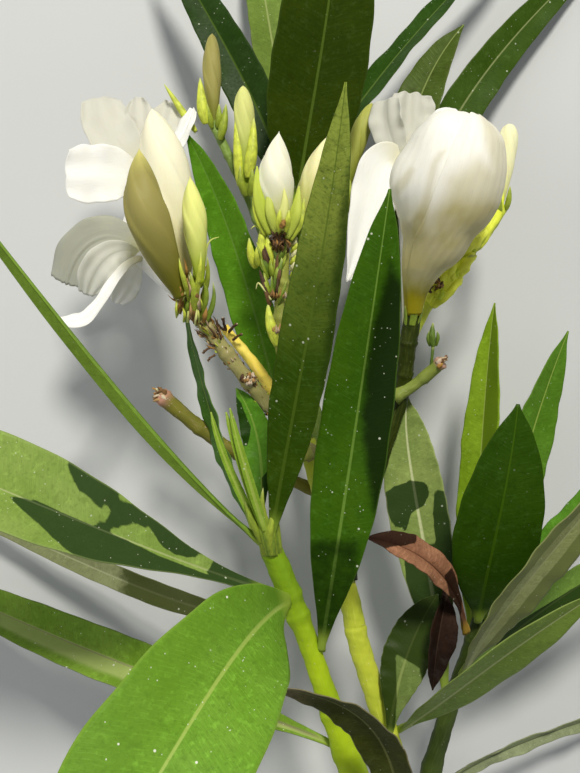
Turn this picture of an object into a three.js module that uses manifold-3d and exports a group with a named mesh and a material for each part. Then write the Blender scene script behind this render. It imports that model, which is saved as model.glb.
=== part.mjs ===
// A cut flowering oleander branch, lying on its back leaves.
// Millimetres, +Z up, +Y towards the flowering tips. The branch is laid out as seen from straight above:
// each point is given as a place in a 580 x 773 layout sheet plus its height over the ground, and is carried
// to millimetres along the line of sight of an eye that hangs EYE_DISTANCE over the height MID.
import * as THREE from "three";
import { mergeVertices } from "three/addons/utils/BufferGeometryUtils.js";
import Module from "manifold-3d";

// ---- driving dimensions (mm unless told otherwise) ----
const SHEET = [580, 773]; // the layout sheet
const MM_PER_UNIT = 0.25; // size of one sheet unit at the height MID
const MID = 60; // height of the branch's middle plane
const EYE_DISTANCE = 240; // height of the eye over MID
const GAP = 0.35; // clear air kept between two pieces
const BLADE = { middle: 1.1, edge: 0.55, petiole: 1.15, steps: 9 }; // leaf thicknesses, petiole half width, rings
const PETAL = { middle: 0.9, edge: 0.6, petiole: 1.6, steps: 4 };
const LIMB_SIDES = 8;
const BUD_SIDES = 8;

const wasm = await Module();
wasm.setup();

const at = ([px, py, z]) => {
  const k = (MM_PER_UNIT * (EYE_DISTANCE + MID - z)) / EYE_DISTANCE;
  return new THREE.Vector3((px - SHEET[0] / 2) * k, (SHEET[1] / 2 - py) * k, z);
};
const UP = new THREE.Vector3(0, 0, 1);
const lerp = (a, b, t) => a + (b - a) * t;
const rad = (d) => (d * Math.PI) / 180;

// A smooth row of points: [value at 0, ..., value at 1], evenly spaced, read at t.
function row(values, t) {
  const n = values.length - 1;
  const i = Math.min(n - 1, Math.floor(t * n));
  const u = t * n - i;
  const p = (k) => values[Math.max(0, Math.min(n, k))];
  const [a, b, c, d] = [p(i - 1), p(i), p(i + 1), p(i + 2)];
  return b + 0.5 * u * (c - a + u * (2 * a - 5 * b + 4 * c - d + u * (3 * (b - c) + d - a)));
}

// ---- limbs: [name, stations [x, y, z, radius]..., all swept as one tapering round limb ----
const F = [402, 898, 45]; // the fork of the branch, below the sheet
const LIMBS = {
  cut_stem: [[420, 1105, 5.0, 5.3], [415, 1030, 15, 5.2], [408, 960, 33, 5.0], [402, 901, 44, 4.6]],
  bright_shoot: [[...F, 3.9], [378, 838, 50, 3.7], [354, 773, 54, 3.6], [336, 722, 56, 3.1], [322, 682, 57, 2.8], [307, 638, 58, 2.8], [292, 600, 59, 3.0], [278, 564, 61, 3.1], [262, 531, 62, 2.3]],
  olive_stem: [[404, 895, 43, 3.2], [403, 820, 41, 2.9], [393, 752, 40, 2.7], [376, 697, 40, 2.5], [359, 643, 40, 2.5], [350, 600, 40, 2.4], [328, 515, 41, 2.3], [308, 445, 43, 2.1]],
  right_shoot: [[408, 893, 41, 3.0], [424, 800, 33, 2.7], [446, 720, 31, 2.5], [467, 658, 33, 2.2], [478, 624, 36, 1.9]],
  back_stem: [[326, 510, 38, 2.0], [312, 400, 31, 1.9], [300, 300, 30, 1.8], [294, 208, 34, 1.7]],
  left_stalk: [[309, 450, 44, 1.9], [277, 416, 48, 1.85], [248, 381, 52, 1.85], [213, 336, 56, 1.8], [186, 299, 59, 1.6]],
  centre_stalk: [[304, 452, 47, 1.7], [288, 392, 51, 1.7], [281, 330, 54, 1.7], [282, 280, 56, 1.7], [284, 236, 57, 1.6]],
  right_stalk: [[348, 570, 41, 2.3], [374, 480, 42, 2.0], [400, 400, 45, 2.0], [407, 350, 49, 2.2], [412, 318, 51, 2.3]],
  tan_stalk: [[298, 430, 42, 1.5], [277, 398, 43, 1.55], [257, 368, 45, 1.5], [232, 337, 46, 1.2]],
  spent_stub: [[318, 492, 38, 1.6], [262, 466, 39, 1.7], [213, 438, 40, 1.8], [160, 395, 42, 2.2]],
  right_stub: [[400, 394, 47, 1.5], [420, 381, 48, 1.5], [442, 362, 51, 1.7]],
  right_pedicel: [[411, 334, 45, 1.6], [437, 286, 43, 1.9], [456, 256, 43, 1.9], [478, 243, 43, 1.6], [499, 214, 43, 1.3]],
  back_flower_stalk: [[299, 300, 36, 1.3], [270, 250, 37, 1.2], [248, 198, 38, 1.2], [228, 155, 38, 1.2], [215, 128, 38, 1.3]],
};

// ---- leaves: foot, two handles and tip of the midrib [x, y, z], then width (mm), roll at foot and tip
// (degrees, right-hand edge towards the eye), fold (degrees each half is raised), outline, and how far the
// broadest place is moved to the tip (1: not at all) ----
const LEAVES = {
  leaf_near: [[[296, 602, 61], [250, 623, 84], [200, 715, 118], [30, 1010, 126]], 35, 0, -10, 11, "broad", 1],
  leaf_left_edge: [[[264, 546, 63], [195, 489, 74], [86, 356, 92], [-72, 150, 100]], 12.5, 72, 60, 18, "lance", 1.2],
  leaf_left_broad: [[[278, 594, 60], [180, 566, 66], [0, 490, 88], [-250, 385, 92]], 24.5, -33, -34, 26, "lance", 1.7],
  leaf_centre: [[[271, 541, 65], [289, 430, 82], [329, 250, 98], [346, 82, 106]], 13.2, 22, 30, 10, "lance", 1],
  leaf_centre_dark: [[[321, 650, 59], [332, 585, 68], [368, 350, 80], [390, 189, 82]], 17, 6, 14, 9, "lance", 1.18],
  leaf_behind_bud: [[[292, 455, 38], [264, 345, 36], [234, 215, 38], [185, 131, 40]], 14, 24, 30, 12, "lance", 1],
  leaf_small: [[[261, 526, 57], [264, 480, 52], [264, 425, 50], [236, 388, 50]], 8, 0, 10, 10, "lance", 1.5],
  leaf_dark_narrow: [[[254, 531, 53], [236, 490, 48], [203, 400, 44], [184, 303, 42]], 9, 60, 66, 10, "lance", 1.2],
  young_leaf_1: [[[258, 529, 66], [240, 492, 70], [219, 452, 73], [211, 412, 74]], 3.6, 10, 0, 12, "lance", 1],
  young_leaf_2: [[[262, 527, 67], [250, 490, 73], [235, 448, 76], [226, 412, 78]], 3.4, -10, 0, 12, "lance", 1],
  leaf_pale: [[[446, 700, 34], [434, 560, 38], [397, 440, 40], [408, 398, 42]], 16.5, 6, 12, 12, "lance", 1.1],
  leaf_right_narrow: [[[471, 645, 33], [476, 560, 34], [483, 400, 34], [495, 303, 34]], 12.5, 40, 44, 14, "lance", 1],
  leaf_right_far: [[[482, 622, 35], [503, 545, 22], [526, 430, 22], [568, 331, 26]], 15, -18, -24, 12, "lance", 1.1],
  leaf_right_dark: [[[478, 621, 40], [484, 575, 56], [508, 500, 66], [518, 404, 70]], 21.5, 0, 6, 8, "lance", 1.1],
  leaf_right_upper: [[[462, 676, 37], [484, 628, 60], [552, 546, 72], [668, 420, 76]], 19, -42, -36, 12, "lance", 1],
  leaf_right_under: [[[455, 692, 32], [505, 628, 42], [570, 586, 48], [690, 520, 40]], 15, -30, -20, 10, "lance", 1.2],
  leaf_right_lower: [[[398, 731, 39], [440, 707, 60], [510, 645, 82], [602, 590, 92]], 14.5, -46, -40, 10, "lance", 1],
  leaf_right_sliver: [[[476, 644, 31], [506, 600, 34], [560, 528, 40], [650, 430, 40]], 10, 60, 64, 10, "lance", 1.2],
  dead_leaf: [[[466, 632, 44], [458, 578, 58], [420, 545, 62], [365, 538, 66]], 8.5, -20, -34, 26, "lance", 1.5],
  dead_leaf_folded: [[[446, 592, 46], [441, 615, 49], [434, 650, 50], [432, 690, 50]], 10, 24, 20, 36, "lance", 1],
  leaf_half_hidden: [[[389, 742, 46], [394, 686, 47], [410, 636, 41], [438, 594, 41]], 13, 20, 24, 10, "lance", 1.3],
  leaf_curling: [[[405, 876, 52], [392, 742, 70], [372, 700, 84], [266, 687, 84]], 11, 10, 66, 20, "lance", 1],
  leaf_lower_right: [[[424, 802, 31], [456, 762, 28], [540, 728, 18], [700, 688, 0.2]], 10.5, -36, -20, 10, "lance", 1.2],
  leaf_lower_left: [[[345, 750, 53], [262, 710, 54], [110, 672, 44], [-120, 556, 0.2]], 16.5, -24, -10, 12, "lance", 1.5],
  leaf_left_under: [[[299, 608, 54], [230, 640, 34], [120, 580, 18], [-120, 470, 0.2]], 9, -10, -6, 10, "lance", 1.2],
  leaf_top_left: [[[291, 215, 32], [280, 130, 30], [222, 40, 28], [150, -85, 20]], 13, 10, 0, 12, "lance", 1],
  leaf_top_large: [[[297, 210, 36], [302, 140, 38], [338, 10, 66], [352, -230, 78]], 25, 0, 0, 9, "lance", 1],
  leaf_top_middle: [[[290, 212, 31], [287, 110, 22], [268, 20, 14], [242, -130, 0.2]], 13, -26, 0, 10, "lance", 1],
  leaf_top_right: [[[300, 214, 33], [330, 130, 26], [400, 42, 26], [540, -95, 14]], 14, 44, 44, 12, "lance", 1],
  leaf_far_right: [[[407, 352, 44], [398, 200, 18], [440, 92, 14], [625, -85, 0.2]], 15, -20, -10, 12, "lance", 1.2],
  leaf_far_grey: [[[396, 408, 42], [380, 240, 30], [396, 100, 30], [464, 25, 34]], 11, 14, 20, 10, "lance", 1.3],
  back_leaf_left: [[[360, 800, 52], [292, 812, 44], [180, 880, 20], [40, 985, 0.2]], 17, -8, 0, 8, "lance", 1],
  back_leaf_right: [[[346, 580, 37], [345, 480, 22], [358, 370, 10], [384, 232, 0.2]], 14, 8, 0, 8, "lance", 1],
};

// ---- buds: foot, middle and tip of the axis [x, y, z], greatest radius, where it is greatest ----
const BUDS = {
  bud_cream_left: [[[182, 290, 57], [172, 205, 57], [152, 109, 56]], 5.9, 0.66],
  bud_green_left: [[[180, 292, 64], [150, 215, 72], [141, 149, 72]], 5.0, 0.58],
  bud_small_left: [[[200, 278, 66], [195, 225, 68], [190, 177, 69]], 2.9, 0.55],
  bud_centre: [[[283, 230, 58], [276, 180, 61], [279, 132, 63]], 4.3, 0.5],
  bud_centre_right: [[[296, 226, 51], [311, 185, 52], [327, 137, 53]], 3.2, 0.55],
  bud_far_right: [[[500, 208, 43], [506, 165, 43], [513, 125, 43]], 2.6, 0.5],
  bud_back_tall: [[[214, 122, 38], [212, 80, 37], [212, 34, 36]], 2.5, 0.6],
  bud_back_middle: [[[247, 190, 42], [245, 140, 43], [243, 86, 43]], 2.7, 0.7],
  bud_beside: [[[346, 190, 38], [356, 145, 37], [372, 103, 36]], 2.6, 0.62],
};

// ---- the half open bloom: stations of its axis, and its radius there ----
const HALF_OPEN = {
  axis: [[413, 314, 52], [415, 290, 54], [423, 262, 57], [437, 230, 60], [446, 185, 63], [452, 145, 64], [458, 111, 64]],
  radius: [2.3, 3.1, 5.7, 10.2, 14.4, 11.8, 2.6],
  seams: 5, // overlapping petals
  step: 0.05, // how far each petal's edge stands out, as a share of the radius
  twist: 150, // degrees that the seams wind round from foot to top
};

// ---- open blooms: the tube's foot, the throat, and the petals as blades from the throat ----
const OPEN = {
  bloom_left_upper: {
    tube: [[184, 292, 50], [160, 235, 48], [146, 182, 46]],
    petals: [
      [[[146, 182, 46], [128, 174, 47], [92, 186, 50], [71, 170, 52]], 15, 0, 0, 6],
      [[[146, 182, 46], [136, 150, 44], [108, 130, 40], [100, 101, 40]], 13.5, 8, 0, 6],
      [[[146, 182, 46], [142, 150, 42], [138, 118, 39], [138, 97, 39]], 9, 0, 0, 6],
      [[[146, 182, 46], [156, 150, 42], [166, 118, 37], [168, 99, 36]], 11, 0, 0, 6],
      [[[146, 182, 46], [164, 170, 42], [184, 142, 41], [192, 116, 41]], 8, 10, 0, 6],
    ],
  },
  bloom_left_lower: {
    tube: [[181, 297, 52], [160, 278, 50], [141, 256, 48]],
    petals: [
      [[[141, 256, 48], [120, 244, 48], [90, 244, 48], [63, 268, 44]], 15, 0, 0, 8],
      [[[141, 256, 48], [116, 262, 46], [96, 280, 44], [80, 296, 42]], 11, 0, 0, 8],
      [[[141, 256, 48], [108, 274, 54], [100, 318, 60], [55, 324, 61]], 8, -30, -60, 10],
      [[[141, 256, 48], [128, 275, 44], [118, 288, 42], [110, 298, 42]], 8, 0, 0, 6],
      [[[141, 256, 48], [142, 242, 46], [136, 232, 44], [126, 222, 44]], 8, 0, 0, 6],
    ],
  },
  bloom_right_back: {
    tube: [[407, 330, 44], [406, 250, 40], [404, 170, 41]],
    petals: [
      [[[404, 166, 41], [380, 148, 43], [382, 214, 46], [349, 277, 47]], 14.5, 6, 10, 6],
      [[[404, 168, 41], [398, 140, 39], [400, 120, 38], [405, 99, 38]], 14.5, 0, 0, 6],
      [[[404, 168, 41], [430, 150, 38], [450, 130, 37], [462, 120, 37]], 13, 0, 0, 6],
      [[[404, 168, 41], [430, 180, 38], [452, 190, 37], [470, 196, 37]], 13, 0, 0, 6],
      [[[404, 168, 41], [412, 195, 38], [422, 215, 37], [430, 236, 37]], 12, 0, 0, 6],
    ],
  },
};

// ---- half width along a blade, as a share of the greatest ----
const PROFILE = {
  lance: [0.1, 0.3, 0.62, 0.86, 0.98, 1.0, 0.95, 0.84, 0.66, 0.4, 0.04],
  broad: [0.1, 0.27, 0.52, 0.7, 0.8, 0.88, 0.95, 1.0, 0.92, 0.64, 0.04],
  petal: [0.1, 0.28, 0.5, 0.72, 0.9, 1.0, 1.0, 0.86, 0.4],
};

// ---- mesh helpers ----
// turnedFrom: from this side of a ring on, the quads are cut along their other diagonal, so that the two faces of a thin
// blade are cut alike and never meet.
function solid(rings, capStart, capEnd, turnedFrom = Infinity) {
  const n = rings[0].length;
  const verts = rings.flat();
  const tris = [];
  for (let i = 0; i + 1 < rings.length; i++)
    for (let j = 0; j < n; j++) {
      const [a, b, c, d] = [i * n + j, i * n + ((j + 1) % n), (i + 1) * n + ((j + 1) % n), (i + 1) * n + j];
      if (j < turnedFrom) tris.push([a, b, c], [a, c, d]);
      else tris.push([a, b, d], [b, c, d]);
    }
  const cap = (base, point, flip) => {
    const m = verts.push(point) - 1;
    for (let j = 0; j < n; j++) {
      const [p, q] = [base + j, base + ((j + 1) % n)];
      tris.push(flip ? [m, q, p] : [m, p, q]);
    }
  };
  cap(0, capStart, true);
  cap((rings.length - 1) * n, capEnd, false);
  return { verts, tris };
}
const toManifold = ({ verts, tris }) => {
  let m = new wasm.Manifold(new wasm.Mesh({ numProp: 3, vertProperties: new Float32Array(verts.flatMap((v) => [v.x, v.y, v.z])), triVerts: new Uint32Array(tris.flat()) }));
  return m;
};
function largest(m) {
  const parts = m.decompose();
  let best = parts[0];
  for (const p of parts) if (p.volume() > best.volume()) best = p;
  return best;
}

// ---- limbs ----
function limbAxis(stations, t) {
  const p = stations.map((s) => at(s));
  return new THREE.Vector3(row(p.map((v) => v.x), t), row(p.map((v) => v.y), t), row(p.map((v) => v.z), t));
}
function limb(stations, extra = 0, sides = LIMB_SIDES) {
  const steps = (stations.length - 1) * 2;
  const rings = [];
  let side = null;
  for (let i = 0; i <= steps; i++) {
    const t = i / steps;
    const c = limbAxis(stations, t);
    const tan = limbAxis(stations, Math.min(1, t + 0.01)).sub(limbAxis(stations, Math.max(0, t - 0.01))).normalize();
    side = (side ?? new THREE.Vector3().crossVectors(tan, UP)).clone();
    side.addScaledVector(tan, -side.dot(tan)).normalize();
    const up = new THREE.Vector3().crossVectors(side, tan);
    const r = row(stations.map((s) => s[3]), t) + extra;
    rings.push(Array.from({ length: sides }, (_, j) => {
      const a = (2 * Math.PI * j) / sides;
      return c.clone().addScaledVector(side, r * Math.cos(a)).addScaledVector(up, -r * Math.sin(a));
    }));
  }
  const middle = (ring) => ring.reduce((s, v) => s.add(v), new THREE.Vector3()).divideScalar(ring.length);
  return solid(rings, middle(rings[0]), middle(rings[rings.length - 1]));
}
// distance from a point to the nearest limb's surface
const SPINES = Object.values(LIMBS).flatMap((st) => Array.from({ length: 60 }, (_, i) => [limbAxis(st, i / 59), row(st.map((s) => s[3]), i / 59)]));
const clearance = (p) => Math.min(...SPINES.map(([c, r]) => c.distanceTo(p) - r));

// ---- blades ----
function blade([controls, width, roll0, roll1, fold, , skew = 1], profile, size, free = true) {
  const midrib = new THREE.CubicBezierCurve3(...controls.map(at));
  let start = 0;
  if (free) while (start < 0.4 && clearance(midrib.getPoint(start)) < size.petiole + GAP + 0.3) start += 0.004;
  const rings = [];
  for (let i = 0; i <= size.steps; i++) {
    const s = i / size.steps;
    const t = lerp(start, 1, s);
    const c = midrib.getPoint(t);
    const tan = midrib.getPoint(Math.min(1, t + 0.01)).sub(midrib.getPoint(Math.max(0, t - 0.01))).normalize();
    const side0 = new THREE.Vector3().crossVectors(tan, UP).normalize();
    const up0 = new THREE.Vector3().crossVectors(side0, tan);
    const r = rad(lerp(roll0, roll1, t));
    const side = side0.clone().multiplyScalar(Math.cos(r)).addScaledVector(up0, Math.sin(r));
    const up = up0.clone().multiplyScalar(Math.cos(r)).addScaledVector(side0, -Math.sin(r));
    const share = row(profile, t ** skew);
    const h = Math.max((width / 2) * share, i === 0 ? Math.min(size.petiole, width * 0.3) : 0.45);
    const f = rad(fold) * Math.min(1, t * 6);
    const across = side.clone().multiplyScalar(h * Math.cos(f));
    const lift = up.clone().multiplyScalar(h * Math.sin(f));
    const k = lerp(1, 0.6, t) * Math.min(1, h / 1.4 + 0.3);
    const e = up.clone().multiplyScalar((size.edge / 2) * k);
    const m = up.clone().multiplyScalar((size.middle / 2) * k);
    const [R, L] = [c.clone().add(across).add(lift), c.clone().sub(across).add(lift)];
    rings.push([R.clone().sub(e), c.clone().sub(m), L.clone().sub(e), L.clone().add(e), c.clone().add(m), R.clone().add(e)]);
  }
  const first = rings[0].reduce((s, v) => s.add(v), new THREE.Vector3()).divideScalar(6);
  const last = rings[rings.length - 1].reduce((s, v) => s.add(v), new THREE.Vector3()).divideScalar(6);
  return solid(rings, first, last, 3);
}

// ---- buds ----
function turned(axisPoints, radii, sides, steps, shape) {
  const p = axisPoints.map(at);
  const axis = (t) => new THREE.Vector3(row(p.map((v) => v.x), t), row(p.map((v) => v.y), t), row(p.map((v) => v.z), t));
  let start = 0;
  while (start < 0.4 && clearance(axis(start)) < radii(start) + GAP) start += 0.004;
  const rings = [];
  let side = null;
  for (let i = 0; i <= steps; i++) {
    const t = lerp(start, 1, i / steps);
    const c = axis(t);
    const tan = axis(Math.min(1, t + 0.01)).sub(axis(Math.max(0, t - 0.01))).normalize();
    side = (side ?? new THREE.Vector3().crossVectors(tan, UP)).clone();
    side.addScaledVector(tan, -side.dot(tan)).normalize();
    const up = new THREE.Vector3().crossVectors(side, tan);
    const r = radii(t);
    rings.push(Array.from({ length: sides }, (_, j) => {
      const a = (2 * Math.PI * j) / sides;
      const k = r * (shape ? shape(a, t) : 1);
      return c.clone().addScaledVector(side, k * Math.cos(a)).addScaledVector(up, -k * Math.sin(a));
    }));
  }
  const middle = (ring) => ring.reduce((s, v) => s.add(v), new THREE.Vector3()).divideScalar(ring.length);
  return solid(rings, middle(rings[0]), middle(rings[rings.length - 1]));
}
function bud([axis, r, peak]) {
  const radii = (t) => {
    const k = t < peak ? lerp(0.34, 1, Math.sin(((t / peak) * Math.PI) / 2) ** 1.3) : Math.cos((((t - peak) / (1 - peak)) * Math.PI) / 2) ** 0.8;
    return Math.max(0.5, r * k);
  };
  return turned(axis, radii, BUD_SIDES, 7);
}
function halfOpen({ axis, radius, seams, step, twist }) {
  const shape = (a, t) => {
    const turn = (((a + rad(twist) * t) * seams) / (2 * Math.PI)) % 1;
    return 1 - step + 2 * step * Math.abs(turn);
  };
  return turned(axis, (t) => row(radius, t), 18, 11, shape);
}

// ---- materials ----
const SLOTS = {
  leaf: [0x4f7a35, 0.45], young: [0x7fae3a, 0.45], dead: [0x6a3b26, 0.8], petal: [0xf3f1e8, 0.55], bud: [0xe6e3b0, 0.5], stem: [0x8f9c4a, 0.6],
};
const slotOf = (name) => {
  if (name in LIMBS) return "stem";
  if (name.startsWith("young")) return "young";
  if (name.startsWith("dead")) return "dead";
  if (name.startsWith("bloom")) return "petal";
  if (name.startsWith("bud")) return "bud";
  return "leaf";
};

// ---- build ----
const solids = new Map();
const thick = []; // limbs already placed, each a little fatter
for (const [name, stations] of Object.entries(LIMBS)) {
  let m = toManifold(limb(stations));
  for (const other of thick) m = m.subtract(other);
  solids.set(name, largest(m));
  thick.push(toManifold(limb(stations, GAP)));
}
for (const [name, spec] of Object.entries(LEAVES)) solids.set(name, toManifold(blade(spec, PROFILE[spec[5]], BLADE)));
for (const [name, spec] of Object.entries(BUDS)) solids.set(name, toManifold(bud(spec)));
solids.set("bloom_half_open", toManifold(halfOpen(HALF_OPEN)));
for (const [name, { tube, petals }] of Object.entries(OPEN)) {
  const throat = (t) => lerp(1.3, 2.6, t * t);
  let m = toManifold(turned(tube, throat, 6, 4));
  for (const p of petals) m = m.add(toManifold(blade(p, PROFILE.petal, PETAL, false)));
  solids.set(name, largest(m));
}

// the ground: what reaches under it is cut flat
const slab = new THREE.BoxGeometry(2000, 2000, 100).translate(0, 0, -50);
slab.deleteAttribute("normal");
slab.deleteAttribute("uv");
const slabMesh = mergeVertices(slab);
const below = new wasm.Manifold(new wasm.Mesh({ numProp: 3, vertProperties: new Float32Array(slabMesh.attributes.position.array), triVerts: new Uint32Array(slabMesh.index.array) }));
for (const [name, m] of solids) if (m.boundingBox().min[2] < 0) solids.set(name, largest(m.subtract(below)));

// origin: middle of the box at the ground
const box = new THREE.Box3();
for (const m of solids.values()) {
  const b = m.boundingBox();
  box.union(new THREE.Box3(new THREE.Vector3(...b.min), new THREE.Vector3(...b.max)));
}
export const SHIFT = [-(box.min.x + box.max.x) / 2, -(box.min.y + box.max.y) / 2, -box.min.z];

const root = new THREE.Group();
root.name = "cut_oleander_branch";
for (const [name, m] of solids) {
  const { vertProperties, triVerts, numProp } = m.translate(SHIFT).getMesh();
  const pos = new Float32Array((vertProperties.length / numProp) * 3);
  for (let i = 0; i < pos.length / 3; i++) for (let k = 0; k < 3; k++) pos[i * 3 + k] = vertProperties[i * numProp + k];
  const g = new THREE.BufferGeometry();
  g.setAttribute("position", new THREE.BufferAttribute(pos, 3));
  g.setIndex(new THREE.BufferAttribute(new Uint32Array(triVerts), 1));
  g.computeVertexNormals();
  const [color, roughness] = SLOTS[slotOf(name)];
  const mesh = new THREE.Mesh(g, new THREE.MeshStandardMaterial({ color, roughness, metalness: 0, flatShading: true }));
  mesh.name = name;
  root.add(mesh);
}
export default root;
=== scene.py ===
# The looks of a cut flowering oleander branch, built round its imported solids.
import math

import bpy
import numpy as np
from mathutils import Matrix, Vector


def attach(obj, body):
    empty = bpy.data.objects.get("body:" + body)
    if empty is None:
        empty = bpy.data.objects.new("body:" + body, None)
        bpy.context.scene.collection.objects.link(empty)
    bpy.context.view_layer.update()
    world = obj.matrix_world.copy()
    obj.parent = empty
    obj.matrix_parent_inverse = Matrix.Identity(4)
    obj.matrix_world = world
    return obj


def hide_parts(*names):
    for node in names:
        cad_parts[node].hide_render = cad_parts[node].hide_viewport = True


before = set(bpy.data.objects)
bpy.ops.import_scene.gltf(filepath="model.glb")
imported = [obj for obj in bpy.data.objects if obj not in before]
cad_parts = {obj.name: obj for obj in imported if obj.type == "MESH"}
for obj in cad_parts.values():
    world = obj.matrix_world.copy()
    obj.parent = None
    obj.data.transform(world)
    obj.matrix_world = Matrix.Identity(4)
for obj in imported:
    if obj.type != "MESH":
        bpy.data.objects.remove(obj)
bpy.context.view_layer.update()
scene = bpy.context.scene

# ---------------------------------------------------------------- layout, as in the solids (mm)
SHEET = (580.0, 773.0)
MM_PER_UNIT = 0.25
MID = 60.0
EYE = 240.0
SHIFT = np.array([0.0821, 30.5091, 0.0])
UP = np.array([0.0, 0.0, 1.0])


def at(p):
    """Layout places [x, y, height] to millimetres, one or many."""
    p = np.asarray(p, float)
    k = MM_PER_UNIT * (EYE + MID - p[..., 2]) / EYE
    out = np.stack([(p[..., 0] - SHEET[0] / 2) * k, (SHEET[1] / 2 - p[..., 1]) * k, p[..., 2]], -1)
    return out + SHIFT


def place(v):
    """Millimetres back to layout places."""
    v = v - SHIFT
    k = MM_PER_UNIT * (EYE + MID - v[..., 2]) / EYE
    return v[..., 0] / k + SHEET[0] / 2, SHEET[1] / 2 - v[..., 1] / k


def row(values, t):
    """A smooth run through evenly spaced values (n, or n x k), read at t (any shape)."""
    v = np.asarray(values, float)
    t = np.clip(np.asarray(t, float), 0, 1)
    n = len(v) - 1
    i = np.minimum(n - 1, np.floor(t * n).astype(int))
    u = t * n - i
    if v.ndim == 2:
        u = u[..., None]
    a, b, c, d = (v[np.clip(i + k, 0, n)] for k in (-1, 0, 1, 2))
    return b + 0.5 * u * (c - a + u * (2 * a - 5 * b + 4 * c - d + u * (3 * (b - c) + d - a)))


def bezier(p, t):
    t = np.asarray(t, float)[..., None]
    u = 1 - t
    return p[0] * u**3 + 3 * p[1] * u * u * t + 3 * p[2] * u * t * t + p[3] * t**3


def unit(v):
    return v / np.maximum(np.linalg.norm(v, axis=-1, keepdims=True), 1e-12)


def smooth(a, b, x):
    x = np.clip((np.asarray(x, float) - a) / (b - a), 0, 1)
    return x * x * (3 - 2 * x)


def lerp(a, b, t):
    return a + (b - a) * t


def within(x, y, corners, soft=3.0):
    """1 inside the outline, 0 outside, soft at its edge."""
    c = np.asarray(corners, float)
    d = np.full(x.shape, 1e9)
    inside = np.zeros(x.shape, bool)
    for i in range(len(c)):
        a, b = c[i], c[(i + 1) % len(c)]
        e = b - a
        wx, wy = x - a[0], y - a[1]
        f = np.clip((wx * e[0] + wy * e[1]) / (e @ e), 0, 1)
        d = np.minimum(d, np.hypot(wx - e[0] * f, wy - e[1] * f))
        inside ^= ((a[1] > y) != (b[1] > y)) & (x < e[0] * wy / (e[1] + 1e-12) + a[0])
    return smooth(-soft, soft, np.where(inside, d, -d))


F = [402, 898, 45]
LIMBS = {
    "cut_stem": [[420, 1105, 5.0, 5.3], [415, 1030, 15, 5.2], [408, 960, 33, 5.0], [402, 901, 44, 4.6]],
    "bright_shoot": [[*F, 3.9], [378, 838, 50, 3.7], [354, 773, 54, 3.6], [336, 722, 56, 3.1], [322, 682, 57, 2.8], [307, 638, 58, 2.8], [292, 600, 59, 3.0], [278, 564, 61, 3.1], [262, 531, 62, 2.3]],
    "olive_stem": [[404, 895, 43, 3.2], [403, 820, 41, 2.9], [393, 752, 40, 2.7], [376, 697, 40, 2.5], [359, 643, 40, 2.5], [350, 600, 40, 2.4], [328, 515, 41, 2.3], [308, 445, 43, 2.1]],
    "right_shoot": [[408, 893, 41, 3.0], [424, 800, 33, 2.7], [446, 720, 31, 2.5], [467, 658, 33, 2.2], [478, 624, 36, 1.9]],
    "back_stem": [[326, 510, 38, 2.0], [312, 400, 31, 1.9], [300, 300, 30, 1.8], [294, 208, 34, 1.7]],
    "left_stalk": [[309, 450, 44, 1.9], [277, 416, 48, 1.85], [248, 381, 52, 1.85], [213, 336, 56, 1.8], [186, 299, 59, 1.6]],
    "centre_stalk": [[304, 452, 47, 1.7], [288, 392, 51, 1.7], [281, 330, 54, 1.7], [282, 280, 56, 1.7], [284, 236, 57, 1.6]],
    "right_stalk": [[348, 570, 41, 2.3], [374, 480, 42, 2.0], [400, 400, 45, 2.0], [407, 350, 49, 2.2], [412, 318, 51, 2.3]],
    "tan_stalk": [[298, 430, 42, 1.5], [277, 398, 43, 1.55], [257, 368, 45, 1.5], [232, 337, 46, 1.2]],
    "spent_stub": [[318, 492, 38, 1.6], [262, 466, 39, 1.7], [213, 438, 40, 1.8], [160, 395, 42, 2.2]],
    "right_stub": [[400, 394, 47, 1.5], [420, 381, 48, 1.5], [442, 362, 51, 1.7]],
    "right_pedicel": [[411, 334, 45, 1.6], [437, 286, 43, 1.9], [456, 256, 43, 1.9], [478, 243, 43, 1.6], [499, 214, 43, 1.3]],
    "back_flower_stalk": [[299, 300, 36, 1.3], [270, 250, 37, 1.2], [248, 198, 38, 1.2], [228, 155, 38, 1.2], [215, 128, 38, 1.3]],
}
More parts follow.
